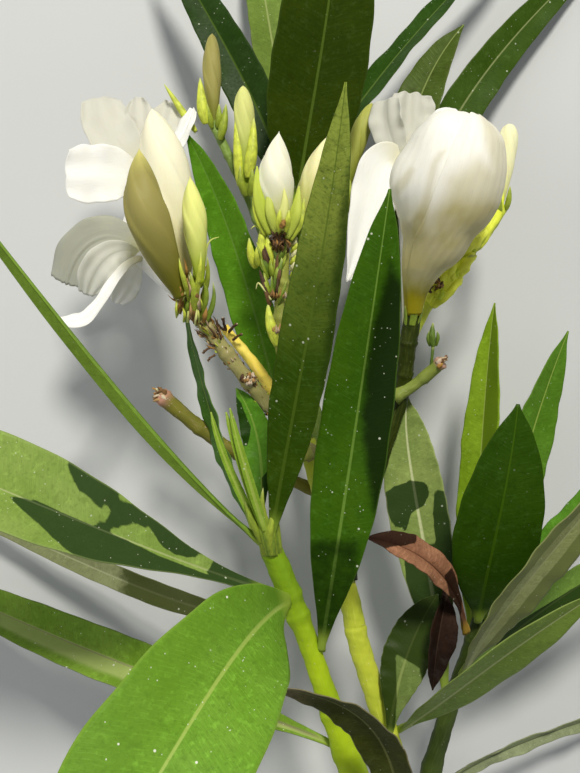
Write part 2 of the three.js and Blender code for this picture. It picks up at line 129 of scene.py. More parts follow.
LEAVES = {
    "leaf_near": [[[296, 602, 61], [250, 623, 84], [200, 715, 118], [30, 1010, 126]], 35, 0, -10, 11, "broad", 1],
    "leaf_left_edge": [[[264, 546, 63], [195, 489, 74], [86, 356, 92], [-72, 150, 100]], 12.5, 72, 60, 18, "lance", 1.2],
    "leaf_left_broad": [[[278, 594, 60], [180, 566, 66], [0, 490, 88], [-250, 385, 92]], 24.5, -33, -34, 26, "lance", 1.7],
    "leaf_centre": [[[271, 541, 65], [289, 430, 82], [329, 250, 98], [346, 82, 106]], 13.2, 22, 30, 10, "lance", 1],
    "leaf_centre_dark": [[[321, 650, 59], [332, 585, 68], [368, 350, 80], [390, 189, 82]], 17, 6, 14, 9, "lance", 1.18],
    "leaf_behind_bud": [[[292, 455, 38], [264, 345, 36], [234, 215, 38], [185, 131, 40]], 14, 24, 30, 12, "lance", 1],
    "leaf_small": [[[261, 526, 57], [264, 480, 52], [264, 425, 50], [236, 388, 50]], 8, 0, 10, 10, "lance", 1.5],
    "leaf_dark_narrow": [[[254, 531, 53], [236, 490, 48], [203, 400, 44], [184, 303, 42]], 9, 60, 66, 10, "lance", 1.2],
    "young_leaf_1": [[[258, 529, 66], [240, 492, 70], [219, 452, 73], [211, 412, 74]], 3.6, 10, 0, 12, "lance", 1],
    "young_leaf_2": [[[262, 527, 67], [250, 490, 73], [235, 448, 76], [226, 412, 78]], 3.4, -10, 0, 12, "lance", 1],
    "leaf_pale": [[[446, 700, 34], [434, 560, 38], [397, 440, 40], [408, 398, 42]], 16.5, 6, 12, 12, "lance", 1.1],
    "leaf_right_narrow": [[[471, 645, 33], [476, 560, 34], [483, 400, 34], [495, 303, 34]], 12.5, 40, 44, 14, "lance", 1],
    "leaf_right_far": [[[482, 622, 35], [503, 545, 22], [526, 430, 22], [568, 331, 26]], 15, -18, -24, 12, "lance", 1.1],
    "leaf_right_dark": [[[478, 621, 40], [484, 575, 56], [508, 500, 66], [518, 404, 70]], 21.5, 0, 6, 8, "lance", 1.1],
    "leaf_right_upper": [[[462, 676, 37], [484, 628, 60], [552, 546, 72], [668, 420, 76]], 19, -42, -36, 12, "lance", 1],
    "leaf_right_under": [[[455, 692, 32], [505, 628, 42], [570, 586, 48], [690, 520, 40]], 15, -30, -20, 10, "lance", 1.2],
    "leaf_right_lower": [[[398, 731, 39], [440, 707, 60], [510, 645, 82], [602, 590, 92]], 14.5, -46, -40, 10, "lance", 1],
    "leaf_right_sliver": [[[476, 644, 31], [506, 600, 34], [560, 528, 40], [650, 430, 40]], 10, 60, 64, 10, "lance", 1.2],
    "dead_leaf": [[[466, 632, 44], [458, 578, 58], [420, 545, 62], [365, 538, 66]], 8.5, -20, -34, 26, "lance", 1.5],
    "dead_leaf_folded": [[[446, 592, 46], [441, 615, 49], [434, 650, 50], [432, 690, 50]], 10, 24, 20, 36, "lance", 1],
    "leaf_half_hidden": [[[389, 742, 46], [394, 686, 47], [410, 636, 41], [438, 594, 41]], 13, 20, 24, 10, "lance", 1.3],
    "leaf_curling": [[[405, 876, 52], [392, 742, 70], [372, 700, 84], [266, 687, 84]], 11, 10, 66, 20, "lance", 1],
    "leaf_lower_right": [[[424, 802, 31], [456, 762, 28], [540, 728, 18], [700, 688, 0.2]], 10.5, -36, -20, 10, "lance", 1.2],
    "leaf_lower_left": [[[345, 750, 53], [262, 710, 54], [110, 672, 44], [-120, 556, 0.2]], 16.5, -24, -10, 12, "lance", 1.5],
    "leaf_left_under": [[[299, 608, 54], [230, 640, 34], [120, 580, 18], [-120, 470, 0.2]], 9, -10, -6, 10, "lance", 1.2],
    "leaf_top_left": [[[291, 215, 32], [280, 130, 30], [222, 40, 28], [150, -85, 20]], 13, 10, 0, 12, "lance", 1],
    "leaf_top_large": [[[297, 210, 36], [302, 140, 38], [338, 10, 66], [352, -230, 78]], 25, 0, 0, 9, "lance", 1],
    "leaf_top_middle": [[[290, 212, 31], [287, 110, 22], [268, 20, 14], [242, -130, 0.2]], 13, -26, 0, 10, "lance", 1],
    "leaf_top_right": [[[300, 214, 33], [330, 130, 26], [400, 42, 26], [540, -95, 14]], 14, 44, 44, 12, "lance", 1],
    "leaf_far_right": [[[407, 352, 44], [398, 200, 18], [440, 92, 14], [625, -85, 0.2]], 15, -20, -10, 12, "lance", 1.2],
    "leaf_far_grey": [[[396, 408, 42], [380, 240, 30], [396, 100, 30], [464, 25, 34]], 11, 14, 20, 10, "lance", 1.3],
    "back_leaf_left": [[[360, 800, 52], [292, 812, 44], [180, 880, 20], [40, 985, 0.2]], 17, -8, 0, 8, "lance", 1],
    "back_leaf_right": [[[346, 580, 37], [345, 480, 22], [358, 370, 10], [384, 232, 0.2]], 14, 8, 0, 8, "lance", 1],
}
BUDS = {
    "bud_cream_left": [[[182, 290, 57], [172, 205, 57], [152, 109, 56]], 5.9, 0.66],
    "bud_green_left": [[[180, 292, 64], [150, 215, 72], [141, 149, 72]], 5.0, 0.58],
    "bud_small_left": [[[200, 278, 66], [195, 225, 68], [190, 177, 69]], 2.9, 0.55],
    "bud_centre": [[[283, 230, 58], [276, 180, 61], [279, 132, 63]], 4.3, 0.5],
    "bud_centre_right": [[[296, 226, 51], [311, 185, 52], [327, 137, 53]], 3.2, 0.55],
    "bud_far_right": [[[500, 208, 43], [506, 165, 43], [513, 125, 43]], 2.6, 0.5],
    "bud_back_tall": [[[214, 122, 38], [212, 80, 37], [212, 34, 36]], 2.5, 0.6],
    "bud_back_middle": [[[247, 190, 42], [245, 140, 43], [243, 86, 43]], 2.7, 0.7],
    "bud_beside": [[[346, 190, 38], [356, 145, 37], [372, 103, 36]], 2.6, 0.62],
}
PROFILE = {
    "lance": [0.1, 0.3, 0.62, 0.86, 0.98, 1.0, 0.95, 0.84, 0.66, 0.4, 0.04],
    "broad": [0.1, 0.27, 0.52, 0.7, 0.8, 0.88, 0.95, 1.0, 0.92, 0.64, 0.04],
}
HALF_OPEN_AXIS = [[413, 314, 52], [415, 290, 54], [423, 262, 57], [437, 230, 60], [446, 185, 63], [452, 145, 64], [458, 111, 64]]
HALF_OPEN_RADIUS = [2.3, 3.1, 5.7, 10.2, 14.4, 11.8, 2.6]

# ---------------------------------------------------------------- mesh making


def make(name, verts, faces, mats, uvs=None, attrs=None, mat_index=None, sharp=None):
    """verts in mm. uvs: {name: per vertex (n,2)}, attrs: {name: per vertex (n,)}."""
    me = bpy.data.meshes.new(name)
    verts = np.asarray(verts, float) / 1000.0
    me.from_pydata(verts.tolist(), [], [list(map(int, f)) for f in faces])
    me.validate(verbose=False)
    me.update()
    for m in mats:
        me.materials.append(m)
    idx = np.zeros(len(me.loops), np.int32)
    me.loops.foreach_get("vertex_index", idx)
    for key, val in (uvs or {}).items():
        layer = me.uv_layers.new(name=key)
        layer.data.foreach_set("uv", np.asarray(val, np.float32)[idx].ravel())
    for key, val in (attrs or {}).items():
        a = me.attributes.new(key, "FLOAT", "POINT")
        a.data.foreach_set("value", np.asarray(val, np.float32))
    if mat_index is not None:
        me.polygons.foreach_set("material_index", np.asarray(mat_index, np.int32))
    me.polygons.foreach_set("use_smooth", np.ones(len(me.polygons), bool))
    me.update()
    ob = bpy.data.objects.new(name, me)
    scene.collection.objects.link(ob)
    return ob


def grid_faces(nr, nc, base=0, closed=False, flip=False):
    """Quads of an nr x nc grid of vertices; closed joins the last column to the first."""
    i, j = np.meshgrid(np.arange(nr - 1), np.arange(nc if closed else nc - 1), indexing="ij")
    jn = (j + 1) % nc
    q = np.stack([i * nc + j, i * nc + jn, (i + 1) * nc + jn, (i + 1) * nc + j], -1).reshape(-1, 4) + base
    return q[:, ::-1] if flip else q


def shell(top, bottom):
    """Closed shell from two grids (nr, nc, 3) that share their outline's order. Returns verts, faces, side (0 top, 1 bottom)."""
    nr, nc = top.shape[:2]
    n = nr * nc
    verts = np.concatenate([top.reshape(-1, 3), bottom.reshape(-1, 3)])
    faces = [grid_faces(nr, nc), grid_faces(nr, nc, n, flip=True)]
    g = np.arange(n).reshape(nr, nc)
    ring = np.concatenate([g[0, :-1], g[:-1, -1], g[-1, :0:-1], g[:0:-1, 0]])
    nxt = np.roll(ring, -1)
    faces.append(np.stack([ring, ring + n, nxt + n, nxt], -1))
    side = np.concatenate([np.zeros(n), np.ones(n)])
    return verts, np.concatenate(faces), side


class Limb:
    """A tapering round limb with its own centre line."""

    def __init__(self, stations):
        s = np.asarray(stations, float)
        self.p, self.r = at(s[:, :3]), s[:, 3]
        t = np.linspace(0, 1, 200)
        self.length = np.linalg.norm(np.diff(self.c(t), axis=0), axis=1).sum()

    def c(self, t):
        return row(self.p, t)

    def radius(self, t):
        return row(self.r, t)

    def frames(self, t):
        tan = unit(self.c(np.minimum(1, t + 0.004)) - self.c(np.maximum(0, t - 0.004)))
        side = np.zeros_like(tan)
        s = unit(np.cross(tan[0], UP))
        for i in range(len(t)):
            s = unit(s - tan[i] * np.dot(s, tan[i]))
            side[i] = s
        return tan, side, np.cross(side, tan)


LIMB = {k: Limb(v) for k, v in LIMBS.items()}
_t = np.linspace(0, 1, 60)
SPINE_P = np.concatenate([l.c(_t) for l in LIMB.values()])
SPINE_R = np.concatenate([l.radius(_t) for l in LIMB.values()])


def clearance(p):
    return (np.linalg.norm(SPINE_P - p, axis=1) - SPINE_R).min()


# ---------------------------------------------------------------- node helpers


class Nodes:
    """Short hand for building a node tree."""

    def __init__(self, name):
        self.mat = bpy.data.materials.new(name)
        self.mat.use_nodes = True
        self.nt = self.mat.node_tree
        self.nt.nodes.clear()
        self.out = self.nt.nodes.new("ShaderNodeOutputMaterial")
        self.bsdf = self.nt.nodes.new("ShaderNodeBsdfPrincipled")
        self.nt.links.new(self.bsdf.outputs[0], self.out.inputs[0])

    def put(self, sock, val):
        if isinstance(val, bpy.types.NodeSocket):
            self.nt.links.new(val, sock)
        elif isinstance(val, (tuple, list)) and len(val) == 3 and sock.type == "RGBA":
            sock.default_value = (*val, 1.0)
        else:
            sock.default_value = val

    def node(self, kind, out=0, **ins):
        n = self.nt.nodes.new(kind)
        for k, v in list(ins.items()):
            if k.startswith("_"):
                setattr(n, k[1:], v)
        for k, v in ins.items():
            if not k.startswith("_"):
                self.put(n.inputs[k.replace("0x", " ")] if not k.startswith("i") or not k[1:].isdigit() else n.inputs[int(k[1:])], v)
        return n.outputs[out]

    def math(self, op, a, b=0.0, c=None, clamp=False):
        n = self.nt.nodes.new("ShaderNodeMath")
        n.operation = op
        n.use_clamp = clamp
        self.put(n.inputs[0], a)
        self.put(n.inputs[1], b)
        if c is not None:
            self.put(n.inputs[2], c)
        return n.outputs[0]

    def uv(self, name):
        return self.node("ShaderNodeUVMap", _uv_map=name)

    def xyz(self, v):
        n = self.nt.nodes.new("ShaderNodeSeparateXYZ")
        self.put(n.inputs[0], v)
        return n.outputs

    def combine(self, x, y, z=0.0):
        n = self.nt.nodes.new("ShaderNodeCombineXYZ")
        for s, v in zip(n.inputs, (x, y, z)):
            self.put(s, v)
        return n.outputs[0]

    def attr(self, name):
        n = self.nt.nodes.new("ShaderNodeAttribute")
        n.attribute_name = name
        return n.outputs["Fac"]

    def noise(self, vec, scale, detail=3.0, rough=0.5, distort=0.0):
        n = self.nt.nodes.new("ShaderNodeTexNoise")
        self.put(n.inputs["Vector"], vec)
        n.inputs["Scale"].default_value = scale
        n.inputs["Detail"].default_value = detail
        n.inputs["Roughness"].default_value = rough
        n.inputs["Distortion"].default_value = distort
        return n.outputs[0]

    def voronoi(self, vec, scale, feature="F1", rand=1.0):
        n = self.nt.nodes.new("ShaderNodeTexVoronoi")
        n.feature = feature
        self.put(n.inputs["Vector"], vec)
        n.inputs["Scale"].default_value = scale
        n.inputs["Randomness"].default_value = rand
        return n.outputs

    def ramp(self, fac, stops, kind="LINEAR"):
        n = self.nt.nodes.new("ShaderNodeValToRGB")
        n.color_ramp.interpolation = kind
        e = n.color_ramp.elements
        while len(e) < len(stops):
            e.new(0.5)
        for el, (pos, col) in zip(e, stops):
            el.position = pos
            el.color = (*col, 1.0) if len(col) == 3 else col
        self.put(n.inputs[0], fac)
        return n.outputs[0]

    def remap(self, v, a, b, lo=0.0, hi=1.0, smooth_step=True):
        n = self.nt.nodes.new("ShaderNodeMapRange")
        n.interpolation_type = "SMOOTHSTEP" if smooth_step else "LINEAR"
        self.put(n.inputs[0], v)
        for k, x in zip((1, 2, 3, 4), (a, b, lo, hi)):
            self.put(n.inputs[k], x)
        return n.outputs[0]

    def mix(self, fac, a, b, kind="MIX"):
        n = self.nt.nodes.new("ShaderNodeMix")
        n.data_type = "RGBA"
        n.blend_type = kind
        n.clamp_factor = True
        self.put(n.inputs[0], fac)
        self.put(n.inputs[6], a)
        self.put(n.inputs[7], b)
        return n.outputs[2]

    def bump(self, height, strength, distance, normal=None):
        n = self.nt.nodes.new("ShaderNodeBump")
        n.inputs["Strength"].default_value = strength
        n.inputs["Distance"].default_value = distance
        self.put(n.inputs["Height"], height)
        if normal is not None:
            self.put(n.inputs["Normal"], normal)
        return n.outputs[0]


def leaf_material(name, upper, under, rib, rib_mm=1.0, rough=0.42, seed=0.0, specks=0.5, vein=0.2, ripple=0.1, light=None, margin=None, tip=None, dark=None, gloss=0.08, foot=(0.3, 0.42, 0.05), pitch=0.105, soft=0.16, rib_fade=0.85, dark_rib=0.85, mottle=0.4):
    """upper and under: base colours of the two sides. light: colour of the paler flecks.
    tip: (colour, from t, to t). dark: colour painted where the shade attribute is high: painted shade and shadows, on
    one leaf a dusty band."""
    n = Nodes(name)
    mm = n.xyz(n.uv("mm"))  # x across, y along, both in centimetres
    ut = n.xyz(n.uv("ut"))
    x, y = mm[0], mm[1]
    ax = n.math("ABSOLUTE", x)
    flat = n.combine(x, y, seed)
    wob = n.noise(flat, 1.3, 3.0)
    # side veins: close, nearly straight, leaving the midrib at about 65 degrees, broken up by noise
    phase = n.math("ADD", n.math("ADD", y, n.math("MULTIPLY", ax, -0.45)), n.math("MULTIPLY", wob, 0.12))
    streak = n.noise(n.combine(n.math("MULTIPLY", ax, 2.2), n.math("MULTIPLY", phase, 0.95 / pitch), seed + 5.0), 1.6, 3.0, 0.6)
    fines = n.noise(n.combine(n.math("MULTIPLY", ax, 3.0), n.math("MULTIPLY", phase, 26.0), seed + 8.0), 1.5, 2.0, 0.5)
    line = n.math("SINE", n.math("MULTIPLY", phase, 2 * math.pi / pitch))
    fade = n.remap(ax, 0.03, 0.12)
    crest = n.math("MULTIPLY", n.remap(line, 0.2, 1.0), n.remap(streak, 0.4, 0.62))
    under_f = n.attr("under")
    # colours
    big = n.noise(flat, 0.8, 4.0, 0.55)
    fine = n.noise(flat, 12.0, 3.0, 0.6)
    light = light or tuple(min(1.0, c * 1.3 + 0.008) for c in upper)
    col_u = n.mix(n.remap(big, 0.35, 0.7, 0.0, 0.8), upper, light)
    if tip:
        col_u = n.mix(n.remap(n.math("ADD", ut[1], n.math("MULTIPLY", n.math("SUBTRACT", big, 0.5), 0.25)), tip[1], tip[2]), col_u, tip[0])
    col_l = n.mix(n.remap(big, 0.35, 0.7, 0.0, 0.6), under, tuple(min(1.0, c * 1.25) for c in under))
    col = n.mix(under_f, col_u, col_l)
    shadow = tuple(c * 0.62 for c in upper)
    paler = tuple(min(1, c * 1.8 + 0.02) for c in upper)
    col = n.mix(n.math("MULTIPLY", n.math("MULTIPLY", crest, fade), 0.55 * vein), col, paler)
    col = n.mix(n.math("MULTIPLY", n.math("MULTIPLY", n.remap(streak, 0.5, 0.72), fade), 0.7 * ripple), col, paler)
    col = n.mix(n.math("MULTIPLY", n.remap(fines, 0.5, 0.75), 0.3), col, shadow)
    col = n.mix(n.remap(fine, 0.5, 0.72, 0.0, mottle), col, shadow)
    col = n.mix(n.remap(n.noise(flat, 5.0, 4.0, 0.65), 0.52, 0.72, 0.0, mottle), col, paler)
    col = n.mix(n.remap(n.noise(n.combine(x, y, seed + 11.0), 3.2, 5.0, 0.7), 0.5, 0.7, 0.0, mottle), col, shadow)
    # painted shade and shadows: where the shade attribute is high, softened by noise, the colour turns to dark
    if dark:
        edge_n = n.math("ADD", n.attr("shade"), n.math("MULTIPLY", n.math("SUBTRACT", n.noise(flat, 3.0, 4.0, 0.6), 0.5), 0.5))
        col = n.mix(n.math("MULTIPLY", n.remap(edge_n, 0.5 - soft, 0.5 + soft), 0.93), col, dark)
    # midrib, narrowing to the tip
    wide = n.remap(ut[1], 0.0, 1.0, rib_mm * 0.075, rib_mm * 0.02, False)
    ribm = n.remap(ax, n.math("MULTIPLY", wide, 0.4), wide, 1.0, 0.0)
    rib_c = n.mix(n.remap(fine, 0.4, 0.7, 0.0, 0.4), rib, tuple(lerp(q, w, 0.4) for q, w in zip(rib, upper)))
    # the midrib is darkened in the painted shade too
    if dark:
        rib_c = n.mix(n.math("MULTIPLY", n.remap(edge_n, 0.5 - soft, 0.5 + soft), dark_rib), rib_c, dark)
    col = n.mix(n.math("MULTIPLY", ribm, rib_fade), col, rib_c)
    if foot:
        col = n.mix(n.remap(n.attr("foot"), 0.1, 0.9, 0.0, 0.85), col, foot)
    # pale margin
    edge = n.remap(n.math("ABSOLUTE", ut[0]), 0.955, 0.995)
    col = n.mix(n.math("MULTIPLY", edge, 0.45), col, margin or tuple(lerp(q, w, 0.5) for q, w in zip(rib, upper)))
    # dust and white specks
    vo = n.voronoi(flat, 2.6)
    dot = n.math("MULTIPLY", n.remap(vo[0], 0.055, 0.09, 1.0, 0.0), n.remap(n.noise(flat, 3.3, 1.0), 0.46, 0.52))
    vo2 = n.voronoi(n.combine(x, y, seed + 3.0), 7.0)
    dot2 = n.math("MULTIPLY", n.remap(vo2[0], 0.08, 0.13, 1.0, 0.0), n.remap(n.noise(flat, 2.1, 1.0), 0.5, 0.58))
    dots = n.math("MAXIMUM", dot, n.math("MULTIPLY", dot2, 0.75), clamp=True)
    col = n.mix(n.math("MULTIPLY", dots, specks), col, (0.75, 0.78, 0.64))
    n.put(n.bsdf.inputs["Base Color"], col)
    r = n.math("ADD", n.remap(fine, 0.3, 0.7, rough - 0.04, rough + 0.08, False), n.math("MULTIPLY", under_f, 0.12))
    n.put(n.bsdf.inputs["Roughness"], r)
    n.bsdf.inputs["Specular IOR Level"].default_value = gloss
    # relief
    h = n.math("MULTIPLY", n.math("ADD", n.math("MULTIPLY", streak, 1.6 * ripple + 0.5), n.math("MULTIPLY", crest, 0.35)), fade)
    h = n.math("ADD", h, n.math("MULTIPLY", fines, 0.35))
    nb = n.bump(h, 0.35 + 0.5 * ripple, 0.00008 + 0.0001 * ripple)
    nb = n.bump(dots, 0.4, 0.00008, nb)
    n.put(n.bsdf.inputs["Normal"], nb)
    return n.mat


def petal_material(name, white, low, low_at=(0.0, 0.45), sss=0.25, seed=0.0, streak=0.5, green=None, dark=None, bleed=(0.002, 0.0015, 0.001)):
    """white: the limb's colour; low: the colour towards the foot, over t in low_at."""
    n = Nodes(name)
    mm = n.xyz(n.uv("mm"))
    ut = n.xyz(n.uv("ut"))
    flat = n.combine(mm[0], mm[1], seed)
    big = n.noise(flat, 1.6, 3.0, 0.5)
    stretch = n.combine(n.math("MULTIPLY", mm[0], 9.0), n.math("MULTIPLY", mm[1], 1.1), seed)
    lines = n.noise(stretch, 3.0, 3.0, 0.6)
    t = n.math("ADD", ut[1], n.math("MULTIPLY", n.math("SUBTRACT", big, 0.5), 0.12))
    col = n.mix(n.remap(t, low_at[0], low_at[1], 1.0, 0.0), white, low)
    if green:
        col = n.mix(n.remap(t, green[1], green[2], 1.0, 0.0), col, green[0])
    col = n.mix(n.remap(lines, 0.5, 0.75, 0.0, 0.16 * streak), col, tuple(c * 0.8 for c in low))
    # painted shade where the shade attribute is set
    if dark:
        col = n.mix(n.math("MULTIPLY", n.attr("shade"), n.remap(big, 0.2, 0.8, 0.8, 1.0)), col, dark)
    n.put(n.bsdf.inputs["Base Color"], col)
    n.put(n.bsdf.inputs["Roughness"], n.remap(big, 0.3, 0.7, 0.5, 0.62, False))
    n.bsdf.inputs["Specular IOR Level"].default_value = 0.22
    n.bsdf.inputs["Subsurface Weight"].default_value = sss
    n.bsdf.inputs["Subsurface Radius"].default_value = bleed
    n.bsdf.inputs["Subsurface Scale"].default_value = 1.0
    h = n.math("ADD", n.math("MULTIPLY", lines, 1.0), n.math("MULTIPLY", n.noise(flat, 18.0, 2.0), 0.25))
    n.put(n.bsdf.inputs["Normal"], n.bump(h, 0.35, 0.00012))
    return n.mat


def stem_material(name, base, shade, streak, spots, rough=0.45, seed=0.0, spot_amount=0.5, tip=None):
    n = Nodes(name)
    mm = n.xyz(n.uv("mm"))  # x round, y along, centimetres
    ut = n.xyz(n.uv("ut"))
    flat = n.combine(mm[0], mm[1], seed)
    big = n.noise(flat, 1.3, 3.0)
    stretch = n.combine(n.math("MULTIPLY", mm[0], 7.0), n.math("MULTIPLY", mm[1], 0.7), seed)
    lines = n.noise(stretch, 3.0, 4.0, 0.6)
    col = n.mix(n.remap(big, 0.3, 0.7), base, shade)
    col = n.mix(n.remap(lines, 0.48, 0.75, 0.0, 0.5), col, streak)
    vo = n.voronoi(n.combine(n.math("MULTIPLY", mm[0], 1.6), mm[1], seed), 5.5)
    dot = n.math("MULTIPLY", n.remap(vo[0], 0.1, 0.2, 1.0, 0.0), n.remap(n.noise(flat, 2.0, 1.0), 0.5, 0.6))
    col = n.mix(n.math("MULTIPLY", dot, spot_amount), col, spots)
    if tip:
        col = n.mix(n.remap(n.math("ADD", ut[1], n.math("MULTIPLY", n.math("SUBTRACT", big, 0.5), 0.1)), tip[1], tip[2]), col, tip[0])
    n.put(n.bsdf.inputs["Base Color"], col)
    n.put(n.bsdf.inputs["Roughness"], n.remap(lines, 0.3, 0.7, rough - 0.06, rough + 0.1, False))
    h = n.math("ADD", n.math("MULTIPLY", lines, 1.0), n.math("MULTIPLY", dot, 0.8))
    h = n.math("ADD", h, n.math("MULTIPLY", n.noise(flat, 12.0, 3.0), 0.6))
    n.bsdf.inputs["Specular IOR Level"].default_value = 0.2
    n.put(n.bsdf.inputs["Normal"], n.bump(h, 0.5, 0.0002))
    return n.mat


# ---------------------------------------------------------------- leaves
US = np.array([-1, -0.93, -0.8, -0.66, -0.52, -0.38, -0.26, -0.16, -0.09, -0.045, 0, 0.045, 0.09, 0.16, 0.26, 0.38, 0.52, 0.66, 0.8, 0.93, 1.0])


def blade(name, spec, mats, steps=72, wave=0.35, waves=5.0, cup=0.0, seed=0, thick=0.42, rib_up=0.0, rib_down=0.55, free=True, twist=0.0, petiole=1.15, tip_curl=0.0, profile=None, shape=None, ragged=0.0, shade=None, round_tip=0.0, scallop=(0.0, 5), pleat=(0.0, 5)):
    controls, width, roll0, roll1, fold, kind, skew = spec
    pts = at(controls)
    prof = profile or PROFILE[kind]
    rng = np.random.RandomState(seed)
    start = 0.0
    if free:
        while start < 0.4 and clearance(bezier(pts, np.array([start]))[0]) < -0.6:
            start += 0.004
    s = np.linspace(0, 1, steps)
    s = s - 0.05 * np.sin(2 * np.pi * s) / (2 * np.pi)
    t = lerp(start, 1.0, s)
    c = bezier(pts, t)
    tan = unit(bezier(pts, np.minimum(1, t + 0.005)) - bezier(pts, np.maximum(0, t - 0.005)))
    side0 = unit(np.cross(tan, UP))
    up0 = np.cross(side0, tan)
    roll = np.radians(lerp(roll0, roll1, t) + twist * np.sin(np.pi * t))[:, None]
    side = side0 * np.cos(roll) + up0 * np.sin(roll)
    up = up0 * np.cos(roll) - side0 * np.sin(roll)
    share = row(prof, t**skew)
    h = np.maximum(width / 2 * share, 0.12)
    foot = smooth(0.14, 0.0, t - start)
    h = np.maximum(h, petiole * foot)
    f = np.radians(fold) * np.minimum(1, t * 6)
    length = np.concatenate([[0], np.cumsum(np.linalg.norm(np.diff(c, axis=0), axis=1))])
    u = US[None, :]
    hh = h[:, None]
    # small swings of the two halves, never alike
    ph = rng.uniform(0, 2 * np.pi, 4)
    sw = wave * (np.sin(2 * np.pi * waves * t[:, None] + ph[0] + (u > 0) * ph[1]) + 0.5 * np.sin(2 * np.pi * waves * 2.3 * t[:, None] + ph[2] + (u > 0) * ph[3]))
    sw = sw * np.abs(u) ** 2 * (hh / (width / 2)) * smooth(0, 0.15, t)[:, None]
    jag = 1 + 0.012 * np.sin(2 * np.pi * (waves * 3.1) * t + ph[1]) + ragged * row(rng.uniform(-1, 1, 30), t)
    x = hh * u * np.cos(f)[:, None] * jag[:, None]
    z = hh * np.abs(u) * np.sin(f)[:, None] - cup * hh * (u**2 - np.abs(u)) + sw
    # the midrib softens the fold
    soft = np.exp(-((hh * u / 0.9) ** 2))
    z = z + 0.35 * np.sin(f)[:, None] * soft
    if pleat[0]:
        z = z + pleat[0] * np.sin(pleat[1] * np.pi * u + ph[0]) * smooth(0.15, 0.9, t)[:, None]
    if shape is not None:
        x, z = shape(x, z, u, t[:, None], hh)
    curl = tip_curl * smooth(0.6, 1.0, t)[:, None] ** 2
    along = round_tip * (1 - u**2) * smooth(0.7, 1.0, t)[:, None]
    along = along + scallop[0] * np.abs(np.sin(scallop[1] * np.pi * (u + 1) / 2 + ph[1])) * smooth(0.75, 1.0, t)[:, None]
    mid = c[:, None, :] + side[:, None, :] * x[..., None] + up[:, None, :] * (z + curl)[..., None] + tan[:, None, :] * along[..., None]
    # thickness: thin blade, raised rib below, slight groove above, round stalk at the foot
    rib = np.exp(-((hh * u / lerp(0.62, 0.3, t)[:, None]) ** 2))
    taper = lerp(1.0, 0.35, t)[:, None]
    th = thick * (1 - 0.45 * np.abs(u) ** 4) * lerp(1.0, 0.5, smooth(0.85, 1.0, t))[:, None]
    taper = taper * smooth(1.0, 0.93, t)[:, None] if rib_down else taper
    fo = foot[:, None]
    up_t = th / 2 + rib_up * rib * taper + fo * 0.55 * np.sqrt(np.maximum(0, 1 - u**2))
    dn_t = th / 2 + rib_down * rib * taper + fo * 0.55 * np.sqrt(np.maximum(0, 1 - u**2))
    # normals of the mid surface
    dv = np.gradient(mid, axis=0)
    du = np.gradient(mid, axis=1)
    nrm = unit(np.cross(du, dv))
    flip = np.sign((nrm * up[:, None, :]).sum(-1, keepdims=True))
    nrm = nrm * np.where(flip == 0, 1, flip)
    top = mid + nrm * up_t[..., None]
    bot = mid - nrm * dn_t[..., None]
    verts, faces, sd = shell(top, bot)
    # outward faces
    a, b_, c_ = top[steps // 2, 10], top[steps // 2, 11], top[steps // 2 + 1, 10]
    if np.dot(np.cross(b_ - a, c_ - a), nrm[steps // 2, 10]) < 0:
        faces = faces[:, ::-1]
    xm = np.broadcast_to(hh * u, mid.shape[:2]) / 10.0
    ym = np.broadcast_to(length[:, None], mid.shape[:2]) / 10.0
    uu = np.broadcast_to(u, mid.shape[:2])
    tt = np.broadcast_to(t[:, None], mid.shape[:2])
    mm = np.stack([xm, ym], -1).reshape(-1, 2)
    ut = np.stack([uu, tt], -1).reshape(-1, 2)
    sh = shade(uu, tt, *place(mid)).ravel() if shade else np.zeros(uu.size)
    ob = make(name, verts, faces, mats, uvs={"mm": np.concatenate([mm, mm]), "ut": np.concatenate([ut, ut])}, attrs={"under": sd, "shade": np.concatenate([sh, sh]), "foot": np.tile(np.repeat(foot, len(US)), 2)})
    return ob


